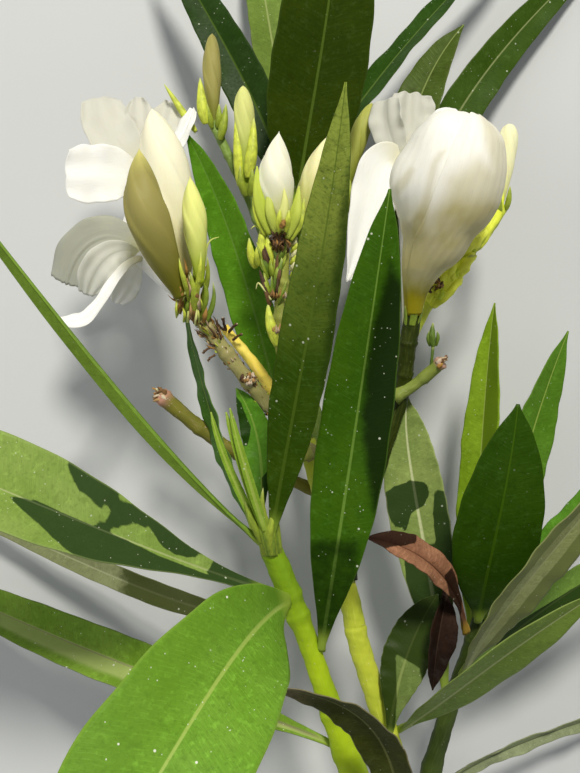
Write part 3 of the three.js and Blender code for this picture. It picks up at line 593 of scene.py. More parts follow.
def tube(name, limb, mats, sides=28, per_mm=1.6, flare=(0.0, 0.0), knots=(), rough_mm=0.06, seed=0, ridge=0.03, end=None, start_in=0.0, end_out=0.0):
    """knots: (t, swelling mm, length mm). flare: extra radius at the foot (mm), over (mm)."""
    rng = np.random.RandomState(seed)
    n = max(12, int(limb.length * per_mm))
    t = np.linspace(0, 1, n)
    c = limb.c(t)
    if start_in:
        d = unit(c[1] - c[0])
        c = np.concatenate([(c[0] - d * start_in)[None], c])
        t = np.concatenate([[0.0], t])
    if end_out:
        d = unit(c[-1] - c[-2])
        c = np.concatenate([c, (c[-1] + d * end_out)[None]])
        t = np.concatenate([t, [1.0]])
    tan, side, up = limb.frames(t)
    length = np.concatenate([[0], np.cumsum(np.linalg.norm(np.diff(c, axis=0), axis=1))])
    r = limb.radius(t)
    if flare[1]:
        r = r + flare[0] * np.exp(-length / flare[1])
    for kt, amp, wide in knots:
        r = r + amp * np.exp(-(((t - kt) * limb.length) / wide) ** 2)
    a = np.linspace(0, 2 * np.pi, sides, endpoint=False)
    grid = np.zeros((len(t), sides, 3))
    k1, k2, k3 = rng.uniform(0, 6.28, 3)
    A, L = np.meshgrid(a, length)
    rr = r[:, None] * (1 + ridge * np.sin(3 * A + k1 + L * 0.02) + ridge * 0.6 * np.sin(7 * A + k2 + L * 0.05))
    rr = rr + rough_mm * (np.sin(A * 2 + L * 0.9 + k3) + np.sin(A * 5 - L * 1.7 + k1) * 0.6 + np.sin(L * 2.9 + A * 3 + k2) * 0.4)
    if end is not None:
        rr = rr * end(t)[:, None]
    grid = c[:, None, :] + side[:, None, :] * (rr * np.cos(A))[..., None] + up[:, None, :] * (rr * -np.sin(A))[..., None]
    verts = grid.reshape(-1, 3)
    faces = [list(q) for q in grid_faces(len(t), sides, closed=True)]
    m0, m1 = len(verts), len(verts) + 1
    verts = np.concatenate([verts, [grid[0].mean(0)], [grid[-1].mean(0)]])
    for j in range(sides):
        faces.append([m0, (j + 1) % sides, j])
        b = (len(t) - 1) * sides
        faces.append([m1, b + j, b + (j + 1) % sides])
    arc = np.broadcast_to(a[None, :] - np.pi, A.shape) * r[:, None] / 10
    mm = np.concatenate([np.stack([arc, L / 10], -1).reshape(-1, 2), [[0, 0], [0, length[-1] / 10]]])
    ut = np.concatenate([np.stack([A / (2 * np.pi), np.broadcast_to(t[:, None], A.shape)], -1).reshape(-1, 2), [[0.5, 0], [0.5, 1]]])
    return make(name, verts, faces, mats, uvs={"mm": mm, "ut": ut})


def rides(ob, slot, *nodes):
    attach(ob, "root")
    if nodes:
        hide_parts(*nodes)
    return ob


# greens: (upper, under, midrib). Each leaf's colours are partly its own tone and partly painted light and shade: leaves
# lying in shade, such as leaf_centre, leaf_centre_dark and leaf_top_large, are set much darker.
LOOK = {
    "leaf_near": dict(upper=(0.14, 0.3, 0.022), under=(0.2, 0.3, 0.1), rib=(0.36, 0.48, 0.1), rib_mm=1.25, specks=1.0, rough=0.45, light=(0.17, 0.33, 0.035), dark=(0.1, 0.21, 0.014), soft=0.5, dark_rib=0.2, vein=0.4, mottle=0.5),
    "leaf_left_edge": dict(upper=(0.24, 0.38, 0.04), under=(0.2, 0.34, 0.04), rib=(0.05, 0.1, 0.01)),
    "leaf_left_broad": dict(upper=(0.22, 0.33, 0.063), under=(0.14, 0.2, 0.08), rib=(0.4, 0.46, 0.2), light=(0.28, 0.39, 0.095), specks=0.8, dark=(0.022, 0.05, 0.014), rib_mm=0.8, dark_rib=0.8),
    "leaf_centre": dict(upper=(0.028, 0.065, 0.0005), under=(0.12, 0.16, 0.04), rib=(0.08, 0.13, 0.012), ripple=0.35, vein=0.3, rough=0.5, pitch=0.15, rib_fade=0.7, light=(0.038, 0.08, 0.001), tip=((0.24, 0.3, 0.045), 0.42, 0.92), dark=(0.018, 0.04, 0.001), soft=0.4),
    "leaf_centre_dark": dict(upper=(0.034, 0.1, 0.002), under=(0.05, 0.09, 0.02), rib=(0.15, 0.26, 0.04), specks=0.7, dark=(0.005, 0.016, 0.0004), soft=0.4, light=(0.05, 0.12, 0.003)),
    "leaf_behind_bud": dict(upper=(0.085, 0.23, 0.0075), under=(0.05, 0.12, 0.02), rib=(0.14, 0.27, 0.04), light=(0.12, 0.28, 0.015)),
    "leaf_small": dict(upper=(0.08, 0.22, 0.012), under=(0.1, 0.2, 0.04), rib=(0.2, 0.32, 0.05), dark=(0.008, 0.03, 0.001), light=(0.11, 0.27, 0.02)),
    "leaf_dark_narrow": dict(upper=(0.05, 0.13, 0.015), under=(0.07, 0.14, 0.03), rib=(0.2, 0.3, 0.05)),
    "leaf_pale": dict(soft=0.12, upper=(0.24, 0.33, 0.085), under=(0.24, 0.3, 0.12), rib=(0.7, 0.74, 0.42), light=(0.34, 0.42, 0.12), rib_mm=1.3, dark=(0.018, 0.045, 0.01)),
    "leaf_right_narrow": dict(upper=(0.2, 0.33, 0.014), under=(0.14, 0.2, 0.05), rib=(0.34, 0.42, 0.1), light=(0.26, 0.41, 0.025), dark=(0.12, 0.2, 0.007)),
    "leaf_right_far": dict(upper=(0.075, 0.18, 0.01), under=(0.12, 0.2, 0.05), rib=(0.3, 0.4, 0.08)),
    "leaf_right_dark": dict(upper=(0.022, 0.062, 0.001), under=(0.05, 0.08, 0.02), rib=(0.05, 0.11, 0.004), specks=0.1, light=(0.032, 0.08, 0.003)),
    "leaf_right_upper": dict(upper=(0.27, 0.3, 0.11), under=(0.17, 0.2, 0.07), rib=(0.36, 0.38, 0.18), rough=0.5, specks=0.8, light=(0.33, 0.36, 0.15), rib_mm=1.2, dark=(0.15, 0.18, 0.05)),
    "leaf_right_under": dict(upper=(0.2175, 0.377, 0.058), under=(0.16, 0.26, 0.08), rib=(0.36, 0.48, 0.14), dark=(0.012, 0.035, 0.004)),
    "leaf_right_lower": dict(upper=(0.17, 0.26, 0.035), under=(0.16, 0.2, 0.06), rib=(0.42, 0.47, 0.2), rough=0.5, specks=0.9, light=(0.21, 0.31, 0.05), rib_mm=1.2),
    "leaf_right_sliver": dict(upper=(0.1, 0.26, 0.02), under=(0.15, 0.28, 0.06), rib=(0.36, 0.48, 0.1)),
    "leaf_half_hidden": dict(soft=0.2, upper=(0.14, 0.2, 0.05), under=(0.1, 0.15, 0.03), rib=(0.26, 0.32, 0.1), dark=(0.02, 0.04, 0.003), light=(0.18, 0.24, 0.07)),
    "leaf_curling": dict(upper=(0.045, 0.055, 0.004), under=(0.055, 0.065, 0.006), rib=(0.16, 0.17, 0.05), rough=0.5, margin=(0.36, 0.31, 0.19), tip=((0.2, 0.16, 0.09), 0.7, 1.0)),
    "leaf_lower_right": dict(upper=(0.26, 0.3, 0.16), under=(0.3, 0.33, 0.18), rib=(0.08, 0.1, 0.04), rough=0.55),
    "leaf_lower_left": dict(upper=(0.14, 0.26, 0.02), under=(0.1, 0.16, 0.05), rib=(0.24, 0.22, 0.12), rib_mm=1.2, specks=0.9, light=(0.2, 0.33, 0.04), dark=(0.36, 0.44, 0.14), dark_rib=0.3, soft=0.4),
    "leaf_left_under": dict(upper=(0.2, 0.22, 0.1), under=(0.12, 0.15, 0.06), rib=(0.34, 0.36, 0.2), dark=(0.05, 0.065, 0.014)),
    "leaf_top_left": dict(upper=(0.014, 0.04, 0.002), under=(0.05, 0.08, 0.02), rib=(0.06, 0.11, 0.01)),
    "leaf_top_large": dict(upper=(0.028, 0.052, 0.001), under=(0.045, 0.08, 0.02), rib=(0.1, 0.16, 0.02), specks=0.1, light=(0.038, 0.066, 0.002)),
    "leaf_top_middle": dict(upper=(0.13, 0.2, 0.03), under=(0.08, 0.13, 0.04), rib=(0.3, 0.36, 0.12)),
    "leaf_top_right": dict(upper=(0.018, 0.055, 0.001), under=(0.06, 0.09, 0.025), rib=(0.1, 0.16, 0.03)),
    "leaf_far_right": dict(upper=(0.035, 0.075, 0.004), under=(0.05, 0.08, 0.02), rib=(0.26, 0.3, 0.12)),
    "leaf_far_grey": dict(upper=(0.06, 0.095, 0.012), under=(0.11, 0.14, 0.05), rib=(0.26, 0.32, 0.1), ripple=0.3),
    "back_leaf_left": dict(upper=(0.06, 0.13, 0.02), under=(0.1, 0.16, 0.04), rib=(0.26, 0.34, 0.08)),
    "back_leaf_right": dict(upper=(0.06, 0.13, 0.02), under=(0.1, 0.16, 0.04), rib=(0.26, 0.34, 0.08)),
    "young_leaf_1": dict(upper=(0.22, 0.36, 0.03), under=(0.32, 0.44, 0.08), rib=(0.4, 0.5, 0.1), specks=0.4),
    "young_leaf_2": dict(upper=(0.24, 0.38, 0.03), under=(0.3, 0.42, 0.08), rib=(0.4, 0.5, 0.1), specks=0.4),
    "dead_leaf": dict(upper=(0.28, 0.13, 0.07), under=(0.16, 0.07, 0.04), rib=(0.12, 0.05, 0.03), rough=0.65, ripple=0.6, vein=0.3, specks=0.2, light=(0.4, 0.2, 0.11), tip=((0.035, 0.014, 0.01), 0.85, 1.0), margin=(0.06, 0.025, 0.015), foot=(0.5, 0.32, 0.04), dark=(0.016, 0.007, 0.004), mottle=0.6),
    "dead_leaf_folded": dict(upper=(0.012, 0.006, 0.004), under=(0.03, 0.015, 0.01), rib=(0.05, 0.03, 0.02), rough=0.7, specks=0.0, light=(0.035, 0.016, 0.008), foot=None),
}
SHAPE = {
    "leaf_near": dict(wave=0.35, waves=1.6, cup=0.05),
    "leaf_left_broad": dict(wave=0.35, waves=3.0),
    "leaf_left_edge": dict(wave=0.04, waves=2.0),
    "leaf_centre": dict(wave=0.2, waves=5.0),
    "leaf_centre_dark": dict(wave=0.15, waves=3.0),
    "leaf_top_large": dict(wave=0.15, waves=3.0),
    "leaf_right_dark": dict(wave=0.2, waves=2.0),
    "leaf_right_lower": dict(wave=0.2, waves=2.0),
    "young_leaf_1": dict(wave=0.0, petiole=0.8, profile=[0.6, 0.8, 0.95, 1.0, 1.0, 0.95, 0.88, 0.8, 0.66, 0.5, 0.16]),
    "young_leaf_2": dict(wave=0.0, petiole=0.8, profile=[0.6, 0.8, 0.95, 1.0, 1.0, 0.95, 0.88, 0.8, 0.66, 0.5, 0.16]),
    "dead_leaf": dict(wave=0.7, waves=2.6, ragged=0.05, cup=0.5),
    "dead_leaf_folded": dict(wave=0.35, waves=2.2, ragged=0.04),
}
# the seen blade may differ a little from its plain solid: (width, roll0, roll1, fold)
TRIM = {
    "leaf_far_right": (13.0, -20, -10, 12),
    "leaf_top_right": (10.0, 44, 44, 12),
    "leaf_far_grey": (14.5, 14, 20, 10),
    "leaf_left_edge": (8.0, 66, 60, 24),
    "young_leaf_1": (2.2, 10, 0, 16),
    "young_leaf_2": (2.2, -10, 0, 16),
    "leaf_right_lower": (15.5, -38, -32, 10),
    "leaf_right_upper": (16.5, -42, -36, 12),
    "leaf_lower_right": (6.5, -36, -24, 26),
    "leaf_lower_left": (16.0, -28, -26, 32),
    "leaf_left_under": (7.0, -10, -6, 14),
    "leaf_curling": (12.5, 10, 60, 16),
}
# places with a darker tone on a blade (u across, t along, x and y in the layout): painted shadows and painted shade on
# most leaves, other darker or dusty parts as noted
def any_of(x, y, *outlines, soft=3.0):
    return np.maximum.reduce([within(x, y, o, soft) for o in outlines])


SHADE = {
    # painted shadows cast by the leaves and blooms above: along the midrib, over the lower half and in patches on the
    # upper half
    "leaf_left_broad": lambda u, t, x, y: any_of(x, y,
        [(8, 497), (35, 500), (70, 516), (110, 533), (160, 557), (215, 578), (290, 606), (290, 640), (200, 620), (120, 590), (66, 550), (40, 527)],
        [(66, 450), (90, 460), (122, 486), (119, 501), (112, 507), (100, 507), (88, 498), (76, 486), (70, 476)],
        [(88, 533), (108, 516), (118, 500), (134, 504), (150, 514), (154, 528), (134, 524), (118, 527), (106, 532), (100, 545)],
        [(147, 508), (170, 515), (204, 538), (208, 551), (190, 558), (174, 554), (160, 545), (152, 530)],
        [(204, 544), (228, 548), (250, 563), (296, 597), (296, 628), (262, 612), (238, 600), (215, 584), (206, 572), (214, 561)]),
    # painted shade on the right half, which faces away from the light; also darker near the foot, less so lowest down
    "leaf_centre_dark": lambda u, t, x, y: any_of(x, y, [(390, 262), (406, 290), (406, 400), (392, 470), (376, 520), (368, 480), (362, 420), (366, 370), (374, 320)], [(300, 540), (360, 540), (360, 680), (300, 680)], soft=10.0) * (1 - 0.35 * smooth(520, 560, y)),
    # a darker band along its right side
    "leaf_centre": lambda u, t, x, y: any_of(x, y, [(352, 150), (360, 200), (352, 300), (330, 400), (318, 400), (330, 300), (338, 220)], soft=9.0) * 0.8,
    # painted shadows over its upper left part and over a patch lower down
    "leaf_small": lambda u, t, x, y: any_of(x, y, [(215, 395), (233, 391), (241, 403), (251, 427), (248, 446), (224, 448)], [(262, 478), (278, 458), (292, 470), (270, 540), (262, 500)], soft=2.0),
    # painted shadows: a blob cast on it, a band along its right side and all of its lower part
    "leaf_pale": lambda u, t, x, y: any_of(x, y,
        [(380, 497), (393, 487), (410, 480), (427, 483), (430, 493), (424, 505), (411, 513), (406, 530), (393, 525), (385, 508)],
        [(435, 490), (452, 490), (462, 540), (452, 556), (436, 544), (433, 513)],
        [(404, 548), (455, 540), (470, 640), (450, 720), (425, 700), (408, 620)]),
    # painted shade over its upper part and over its left edge, in the dark gap by the stem
    "leaf_half_hidden": lambda u, t, x, y: any_of(x, y, [(380, 630), (428, 584), (448, 588), (444, 640), (442, 712), (428, 716), (420, 668), (396, 654), (382, 650)], [(370, 640), (396, 650), (397, 700), (393, 760), (370, 760)]),
    # darker over its right half and near the foot
    "leaf_near": lambda u, t, x, y: smooth(0.0, 0.5, u) * 0.48 + any_of(x, y, [(270, 590), (310, 590), (316, 660), (286, 640)], soft=14.0) * 0.4,
    # a pale dusty band along the midrib, set lighter than the dust itself to offset the shadow of leaf_near on it: dust
    # and painted light
    "leaf_lower_left": lambda u, t, x, y: 0.8 * smooth(-0.8, -0.5, u) * smooth(0.14, 0.0, u) * smooth(0.0, 0.1, t),
    # darker towards both margins
    "leaf_right_upper": lambda u, t, x, y: smooth(0.35, 0.5, np.abs(u)),
    # painted shadow along its lower half
    "leaf_right_under": lambda u, t, x, y: any_of(x, y, [(495, 640), (520, 620), (548, 603), (574, 587), (640, 546), (720, 496), (720, 560), (640, 600), (560, 632), (500, 660)], soft=2.0),
    # painted shade over its part near the stem
    "leaf_left_under": lambda u, t, x, y: smooth(84, 160, x),
    # one half darker, short of its margin
    "leaf_right_narrow": lambda u, t, x, y: smooth(-0.1, 0.1, u) * smooth(0.98, 0.86, u),
    # dark patches near its curled end and by its foot
    "dead_leaf": lambda u, t, x, y: any_of(x, y, [(350, 530), (372, 520), (398, 520), (416, 530), (416, 543), (400, 546), (383, 549), (366, 548)], [(444, 575), (452, 566), (462, 600), (460, 620), (450, 600)], soft=3.0),
}
SEEN = {
    "leaf_near": [[290, 600, 61], [245, 622, 84], [192, 715, 118], [24, 1010, 126]],
    "leaf_far_right": [[407, 352, 44], [396, 200, 18], [438, 86, 14], [632, -76, 0.2]],
    "leaf_curling": [[405, 876, 52], [402, 738, 70], [382, 694, 84], [250, 685, 84]],
}
for i, (name, spec) in enumerate(LEAVES.items()):
    if name in SEEN:
        spec = [SEEN[name], *spec[1:]]
    mat = leaf_material(name + "_finish", seed=1.7 * i, **LOOK[name])
    if name in TRIM:
        wd, ra, rb, fo = TRIM[name]
        spec = [spec[0], wd, ra, rb, fo, *spec[5:]]
    ob = blade(name + "_blade", spec, [mat], seed=i, shade=SHADE.get(name), **SHAPE.get(name, {}))
    slot = "dead_leaf" if name.startswith("dead") else "young_leaf" if name.startswith("young") else "leaf"
    rides(ob, slot, name)

# ---------------------------------------------------------------- stems
STEM = {
    "cut_stem": dict(base=(0.3, 0.25, 0.15), shade=(0.22, 0.19, 0.11), streak=(0.4, 0.35, 0.24), spots=(0.5, 0.45, 0.36), rough=0.7),
    "bright_shoot": dict(base=(0.42, 0.58, 0.012), shade=(0.34, 0.5, 0.01), streak=(0.46, 0.56, 0.05), spots=(0.5, 0.6, 0.2), tip=((0.19, 0.33, 0.01), 0.5, 0.85)),
    # olive stem: paler than its own green to offset the shade falling on it, painted light
    "olive_stem": dict(base=(0.6, 0.66, 0.055), shade=(0.48, 0.56, 0.045), streak=(0.7, 0.72, 0.12), spots=(0.66, 0.66, 0.28)),
    # right shoot: darkened for the deep shade it lies in, painted shade
    "right_shoot": dict(base=(0.05, 0.08, 0.012), shade=(0.035, 0.055, 0.01), streak=(0.09, 0.12, 0.03), spots=(0.16, 0.18, 0.08)),
    "back_stem": dict(base=(0.16, 0.24, 0.04), shade=(0.13, 0.2, 0.04), streak=(0.22, 0.3, 0.07), spots=(0.36, 0.4, 0.2)),
    "left_stalk": dict(base=(0.38, 0.34, 0.13), shade=(0.28, 0.27, 0.09), streak=(0.5, 0.44, 0.24), spots=(0.66, 0.58, 0.42), spot_amount=0.9, rough=0.6),
    "centre_stalk": dict(base=(0.38, 0.4, 0.08), shade=(0.28, 0.32, 0.06), streak=(0.38, 0.36, 0.14), spots=(0.5, 0.42, 0.26), rough=0.6),
    "right_stalk": dict(base=(0.03, 0.045, 0.002), shade=(0.02, 0.032, 0.001), streak=(0.09, 0.11, 0.015), spots=(0.16, 0.17, 0.06)),
    # tan stalk: brighter than its own tan to offset the shade of the blooms over it, painted light
    "tan_stalk": dict(base=(1.0, 0.82, 0.14), shade=(0.95, 0.7, 0.1), streak=(0.98, 0.8, 0.34), spots=(0.36, 0.2, 0.08), rough=0.6),
    "spent_stub": dict(base=(0.2, 0.19, 0.02), shade=(0.15, 0.15, 0.02), streak=(0.3, 0.24, 0.12), spots=(0.55, 0.42, 0.3), rough=0.6, spot_amount=0.8, tip=((0.5, 0.26, 0.18), 0.9, 0.98)),
    "right_stub": dict(base=(0.26, 0.32, 0.06), shade=(0.2, 0.26, 0.05), streak=(0.34, 0.38, 0.1), spots=(0.44, 0.42, 0.2), tip=((0.5, 0.3, 0.22), 0.84, 0.92)),
    "right_pedicel": dict(base=(0.6, 0.68, 0.06), shade=(0.5, 0.6, 0.05), streak=(0.7, 0.76, 0.14), spots=(0.3, 0.2, 0.08)),
    "back_flower_stalk": dict(base=(0.24, 0.34, 0.08), shade=(0.2, 0.3, 0.06), streak=(0.32, 0.42, 0.12), spots=(0.4, 0.44, 0.2)),
}
# swellings: (t, mm out, mm long), each with a fine groove above it
def nodes_at(*ts, out=0.45, wide=2.2):
    marks = []
    for k in ts:
        marks += [(k, out, wide), (k + 0.012, -0.22, 0.35)]
    return tuple(marks)


KNOTS = {
    "bright_shoot": nodes_at(0.3, 0.405, 0.7, 0.77, 0.93, out=0.5, wide=2.4),
    "olive_stem": nodes_at(0.2, 0.62, out=0.15),
    "right_shoot": nodes_at(0.35, 0.6, 0.86, out=0.4),
    "left_stalk": nodes_at(0.16, 0.34, 0.5, 0.66, 0.8, out=0.4, wide=1.2),
    "centre_stalk": nodes_at(0.2, 0.45, 0.56, 0.74, out=0.45, wide=1.0),
    "right_stalk": nodes_at(0.3, 0.62, 0.8, out=0.3, wide=1.4),
    "tan_stalk": nodes_at(0.3, 0.6, 0.85, out=0.22, wide=0.9),
    "spent_stub": nodes_at(0.25, 0.5, 0.75, 0.96, out=0.35, wide=1.2),
    "right_stub": nodes_at(0.6, 0.96, out=0.35, wide=0.8),
    "back_stem": nodes_at(0.3, 0.65, out=0.3),
    "back_flower_stalk": nodes_at(0.4, 0.75, out=0.3, wide=1.0),
    "cut_stem": nodes_at(0.35, 0.7, out=0.5, wide=3.0),
}
END_OUT = {"left_stalk": 2.0, "centre_stalk": 2.0, "right_stalk": 2.0, "right_pedicel": 2.5, "back_flower_stalk": 1.6, "spent_stub": 0.0, "right_stub": 0.0, "tan_stalk": 3.4}
GROW = {"olive_stem": lambda t: 1 + 0.16 * smooth(0.2, 0.45, t), "bright_shoot": lambda t: (1 - 0.06 * smooth(0.3, 0.6, t)) * (1 - 0.62 * smooth(0.9, 1.0, t))}
for i, (name, limb) in enumerate(LIMB.items()):
    mat = stem_material(name + "_finish", seed=2.3 * i, **STEM[name])
    ob = tube(name + "_limb", limb, [mat], seed=i, start_in=0.0 if name == "cut_stem" else 1.8, end_out=END_OUT.get(name, 1.2), flare=(0.9, 2.2) if name != "cut_stem" else (0, 0), knots=KNOTS.get(name, ()), end=GROW.get(name))
    rides(ob, "wood" if name == "cut_stem" else "stem", name)


# ---------------------------------------------------------------- buds
def turned(name, axis, radius, mats, sides=60, rings=60, seams=5, step=0.05, twist=150.0, phase=0.0, start=0.0, tuck=0.0):
    p = at(axis)
    s = np.linspace(0, 1, rings)
    t = lerp(start, 1.0, s)
    c = row(p, t)
    if tuck:
        c = c - unit(c[1] - c[0]) * (tuck * np.exp(-t * 30))[:, None]
    tan = unit(row(p, np.minimum(1, t + 0.01)) - row(p, np.maximum(0, t - 0.01)))
    side = np.zeros_like(tan)
    sv = unit(np.cross(tan[0], UP))
    for i in range(rings):
        sv = unit(sv - tan[i] * np.dot(sv, tan[i]))
        side[i] = sv
    up = np.cross(side, tan)
    r = radius(t)
    a = np.linspace(0, 2 * np.pi, sides, endpoint=False)
    A, T = np.meshgrid(a, t)
    turn = ((A + np.radians(twist) * T + phase) * seams / (2 * np.pi)) % 1.0
    # each petal climbs over the next, then drops at its edge
    prof = smooth(0.0, 0.86, turn) - smooth(0.9, 1.0, turn)
    k = 1 + step * (2 * prof - 1) * smooth(0.12, 0.5, T)
    rr = r[:, None] * k
    grid = c[:, None, :] + side[:, None, :] * (rr * np.cos(A))[..., None] + up[:, None, :] * (rr * -np.sin(A))[..., None]
    verts = np.concatenate([grid.reshape(-1, 3), [grid[0].mean(0)], [grid[-1].mean(0) + tan[-1] * 0.2]])
    faces = [list(q) for q in grid_faces(rings, sides, closed=True)]
    m0 = rings * sides
    for j in range(sides):
        faces.append([m0, (j + 1) % sides, j])
        b = (rings - 1) * sides
        faces.append([m0 + 1, b + j, b + (j + 1) % sides])
    length = np.concatenate([[0], np.cumsum(np.linalg.norm(np.diff(c, axis=0), axis=1))])
    mm = np.concatenate([np.stack([(A - np.pi) * r[:, None] / 10, np.broadcast_to(length[:, None], A.shape) / 10], -1).reshape(-1, 2), [[0, 0], [0, length[-1] / 10]]])
    ut = np.concatenate([np.stack([turn, T], -1).reshape(-1, 2), [[0.5, start], [0.5, 1]]])
    return make(name, verts, faces, mats, uvs={"mm": mm, "ut": ut})


def bud_radius(r, peak, point=0.8):
    def f(t):
        lo = lerp(0.34, 1, np.sin(np.clip(t / peak, 0, 1) * np.pi / 2) ** 1.3)
        hi = np.cos(np.clip((t - peak) / (1 - peak), 0, 1) * np.pi / 2) ** point
        return np.maximum(0.12, r * np.where(t < peak, lo, hi))

    return f


# over 0.8 a bud tapers more to its point
POINT = {"bud_green_left": 1.15, "bud_centre": 1.25, "bud_centre_right": 1.1, "bud_small_left": 1.15, "bud_far_right": 0.5, "bud_cream_left": 0.95, "bud_back_middle": 0.7, "bud_back_tall": 0.7}
# low: colour towards the foot over low_at. On bud_cream_left and bud_green_left the dark olive low down is partly the
# buds' own green and partly painted shade.
BUD_LOOK = {
    "bud_cream_left": dict(white=(0.92, 0.88, 0.66), low=(0.46, 0.41, 0.12), low_at=(0.05, 0.62)),
    "bud_green_left": dict(white=(0.6, 0.56, 0.17), low=(0.34, 0.3, 0.09), low_at=(0.72, 0.97), green=((0.17, 0.16, 0.008), 0.05, 0.55)),
    "bud_small_left": dict(white=(0.8, 0.83, 0.26), low=(0.34, 0.44, 0.015), low_at=(0.0, 0.6)),
    "bud_centre": dict(white=(0.9, 0.89, 0.7), low=(0.6, 0.62, 0.16), low_at=(0.05, 0.55)),
    "bud_centre_right": dict(white=(0.88, 0.84, 0.46), low=(0.46, 0.5, 0.06), low_at=(0.1, 0.75)),
    "bud_far_right": dict(white=(0.9, 0.88, 0.55), low=(0.68, 0.68, 0.2), low_at=(0.0, 0.6)),
    "bud_back_tall": dict(white=(0.34, 0.31, 0.09), low=(0.19, 0.2, 0.018), low_at=(0.0, 0.5)),
    "bud_back_middle": dict(white=(0.68, 0.7, 0.24), low=(0.28, 0.37, 0.03), low_at=(0.15, 0.8)),
    "bud_beside": dict(white=(0.46, 0.48, 0.1), low=(0.17, 0.2, 0.015), low_at=(0.0, 0.8)),
}
SEEN_BUDS = {
    "bud_far_right": ([[499, 208, 43], [505, 165, 43], [510, 124, 43]], 2.6, 0.72),
    "bud_green_left": ([[179, 292, 64], [147, 215, 72], [139, 149, 72]], 5.0, 0.48),
}
for i, (name, (axis, r, peak)) in enumerate(BUDS.items()):
    axis, r, peak = SEEN_BUDS.get(name, (axis, r, peak))
    mat = petal_material(name + "_finish", seed=3.1 * i, **BUD_LOOK[name])
    ob = turned(name + "_petals", axis, bud_radius(r, peak, POINT.get(name, 0.85)), [mat], sides=64, rings=64, step=0.05, twist=200, phase=0.7 * i, tuck=1.2)
    rides(ob, "bud", name)

# ---------------------------------------------------------------- half open bloom
class Closing:
    """The form of a bloom whose petals still hold together: places on it by angle from the camera side (degrees),
    share of its height and millimetres out. Its outline as seen in the layout is fitted to a given one."""

    def __init__(self, axis, radius, centre, outline, flat=1.0, top=0.84):
        self.p, self.radius, self.top, self.flat, self.mid = at(axis), radius, top, flat, np.asarray(centre, float)
        q = np.linspace(0, 1, 201)
        tan = unit(row(self.p, np.minimum(1, q + 0.01)) - row(self.p, np.maximum(0, q - 0.01)))
        self.q, self.tan = q, tan
        self.front = unit(UP - tan * (tan @ UP)[:, None])
        self.right = np.cross(tan, self.front)
        o = np.asarray(outline, float) - self.mid
        oa, od = np.arctan2(o[:, 1], o[:, 0]), np.hypot(o[:, 0], o[:, 1])
        phi, t = np.meshgrid(np.linspace(-180, 180, 181), np.linspace(0.1, 1, 161))
        x, y = place(self.raw(phi, t, 1.2))
        ang, dist = np.arctan2(y - self.mid[1], x - self.mid[0]), np.hypot(x - self.mid[0], y - self.mid[1])
        self.bins = np.linspace(-np.pi, np.pi, 91)[:-1]
        self.now = np.array([dist[np.abs((ang - k + np.pi) % (2 * np.pi) - np.pi) < 0.045].max() for k in self.bins])
        self.aim = np.interp(self.bins, oa, od, period=2 * np.pi)

    def raw(self, phi, t, h):
        phi, t = np.radians(phi), np.clip(t, 0, 1)
        c = row(self.p, t)
        tan, front, right = (np.stack([np.interp(t, self.q, v[:, k]) for k in range(3)], -1) for v in (self.tan, self.front, self.right))
        r = row(self.radius, t) * np.sqrt(np.clip(1 - np.clip((t - self.top) / (1 - self.top), 0, 1) ** 2, 0, 1))
        f = lerp(1.0, self.flat, smooth(0.3, 0.55, t))
        k = np.maximum(r + h, 0.04)
        return c + front * (k * np.cos(phi) * f)[..., None] + right * (k * np.sin(phi))[..., None]

    def fit(self, v):
        x, y = place(v)
        dx, dy = x - self.mid[0], y - self.mid[1]
        ang, dist = np.arctan2(dy, dx), np.hypot(dx, dy)
        now, aim = np.interp(ang, self.bins, self.now, period=2 * np.pi), np.interp(ang, self.bins, self.aim, period=2 * np.pi)
        k = 1 + (aim / now - 1) * np.clip(dist / now, 0, 1.1) ** 1.6 * smooth(272.0, 238.0, y)
        return at(np.stack([self.mid[0] + dx * k, self.mid[1] + dy * k, v[..., 2]], -1))

    def petal(self, name, middle, half, tip, lift, mats, bow=1.0, first=0.02, thick=0.3, cols=41, rows_=80, seed=0, shade=None, drop=0.16, lobe=0.012, edge=(0.35, 0.35), slope=0.0):
        """middle, half: angle of the petal's middle and half its width, over t. tip: share of the height it reaches.
        lift: mm over the heart, over t. bow: extra mm along its middle. slope: how far one side of its end stands higher."""
        rng = np.random.RandomState(seed)
        k = rng.uniform(0, 6.28, 6)
        w = np.linspace(-1, 1, cols)[None, :]
        end = tip - drop * np.abs(w) ** 2.6 + slope * w + lobe * np.sin(w * 5 + k[0]) + lobe * 0.5 * np.sin(w * 13 + k[1])
        v = np.linspace(0, 1, rows_)[:, None]
        t = first + (end - first) * v
        phi = row(middle, t) + row(half, t) * w
        up = smooth(0.12, 0.45, t)
        h = row(lift, t) + up * (bow * (1 - w**2) + edge[0] * np.exp(-(1 + w) / 0.1) + edge[1] * np.exp(-(1 - w) / 0.1))
        h = h + up * (0.22 * np.sin(phi * 0.05 + t * 8 + k[2]) + 0.14 * np.sin(w * 6 + t * 5 + k[3]) + 0.05 * np.sin(w * 26 + k[4])) + 0.9 * smooth(0.9, 1.0, v) * up * rng.uniform(0.2, 0.8)
        mid = self.raw(phi, t, h)
        low = self.raw(phi, t, h - thick * (1 - 0.5 * np.abs(w) ** 6) * smooth(1.02, 0.9, v))
        verts, faces, sd = shell(self.fit(mid), self.fit(low))
        m = rows_ // 2, cols // 2
        g = mid
        out = mid[m] - low[m]
        if np.dot(np.cross(g[m[0], m[1] + 1] - g[m], g[m[0] + 1, m[1]] - g[m]), out) < 0:
            faces = faces[:, ::-1]
        cm = np.stack([np.broadcast_to(w * np.radians(row(half, t)) * 1.2, t.shape), t * 5.2], -1).reshape(-1, 2)
        ut = np.stack([np.broadcast_to(w, t.shape), t], -1).reshape(-1, 2)
        n = len(verts) // 2
        x, y = place(verts)
        sh = shade(x, y) if shade else np.zeros(len(verts))
        sh[n:] = 0.0
        return make(name, verts, faces, mats, uvs={"mm": np.concatenate([cm, cm]), "ut": np.concatenate([ut, ut])}, attrs={"shade": sh})

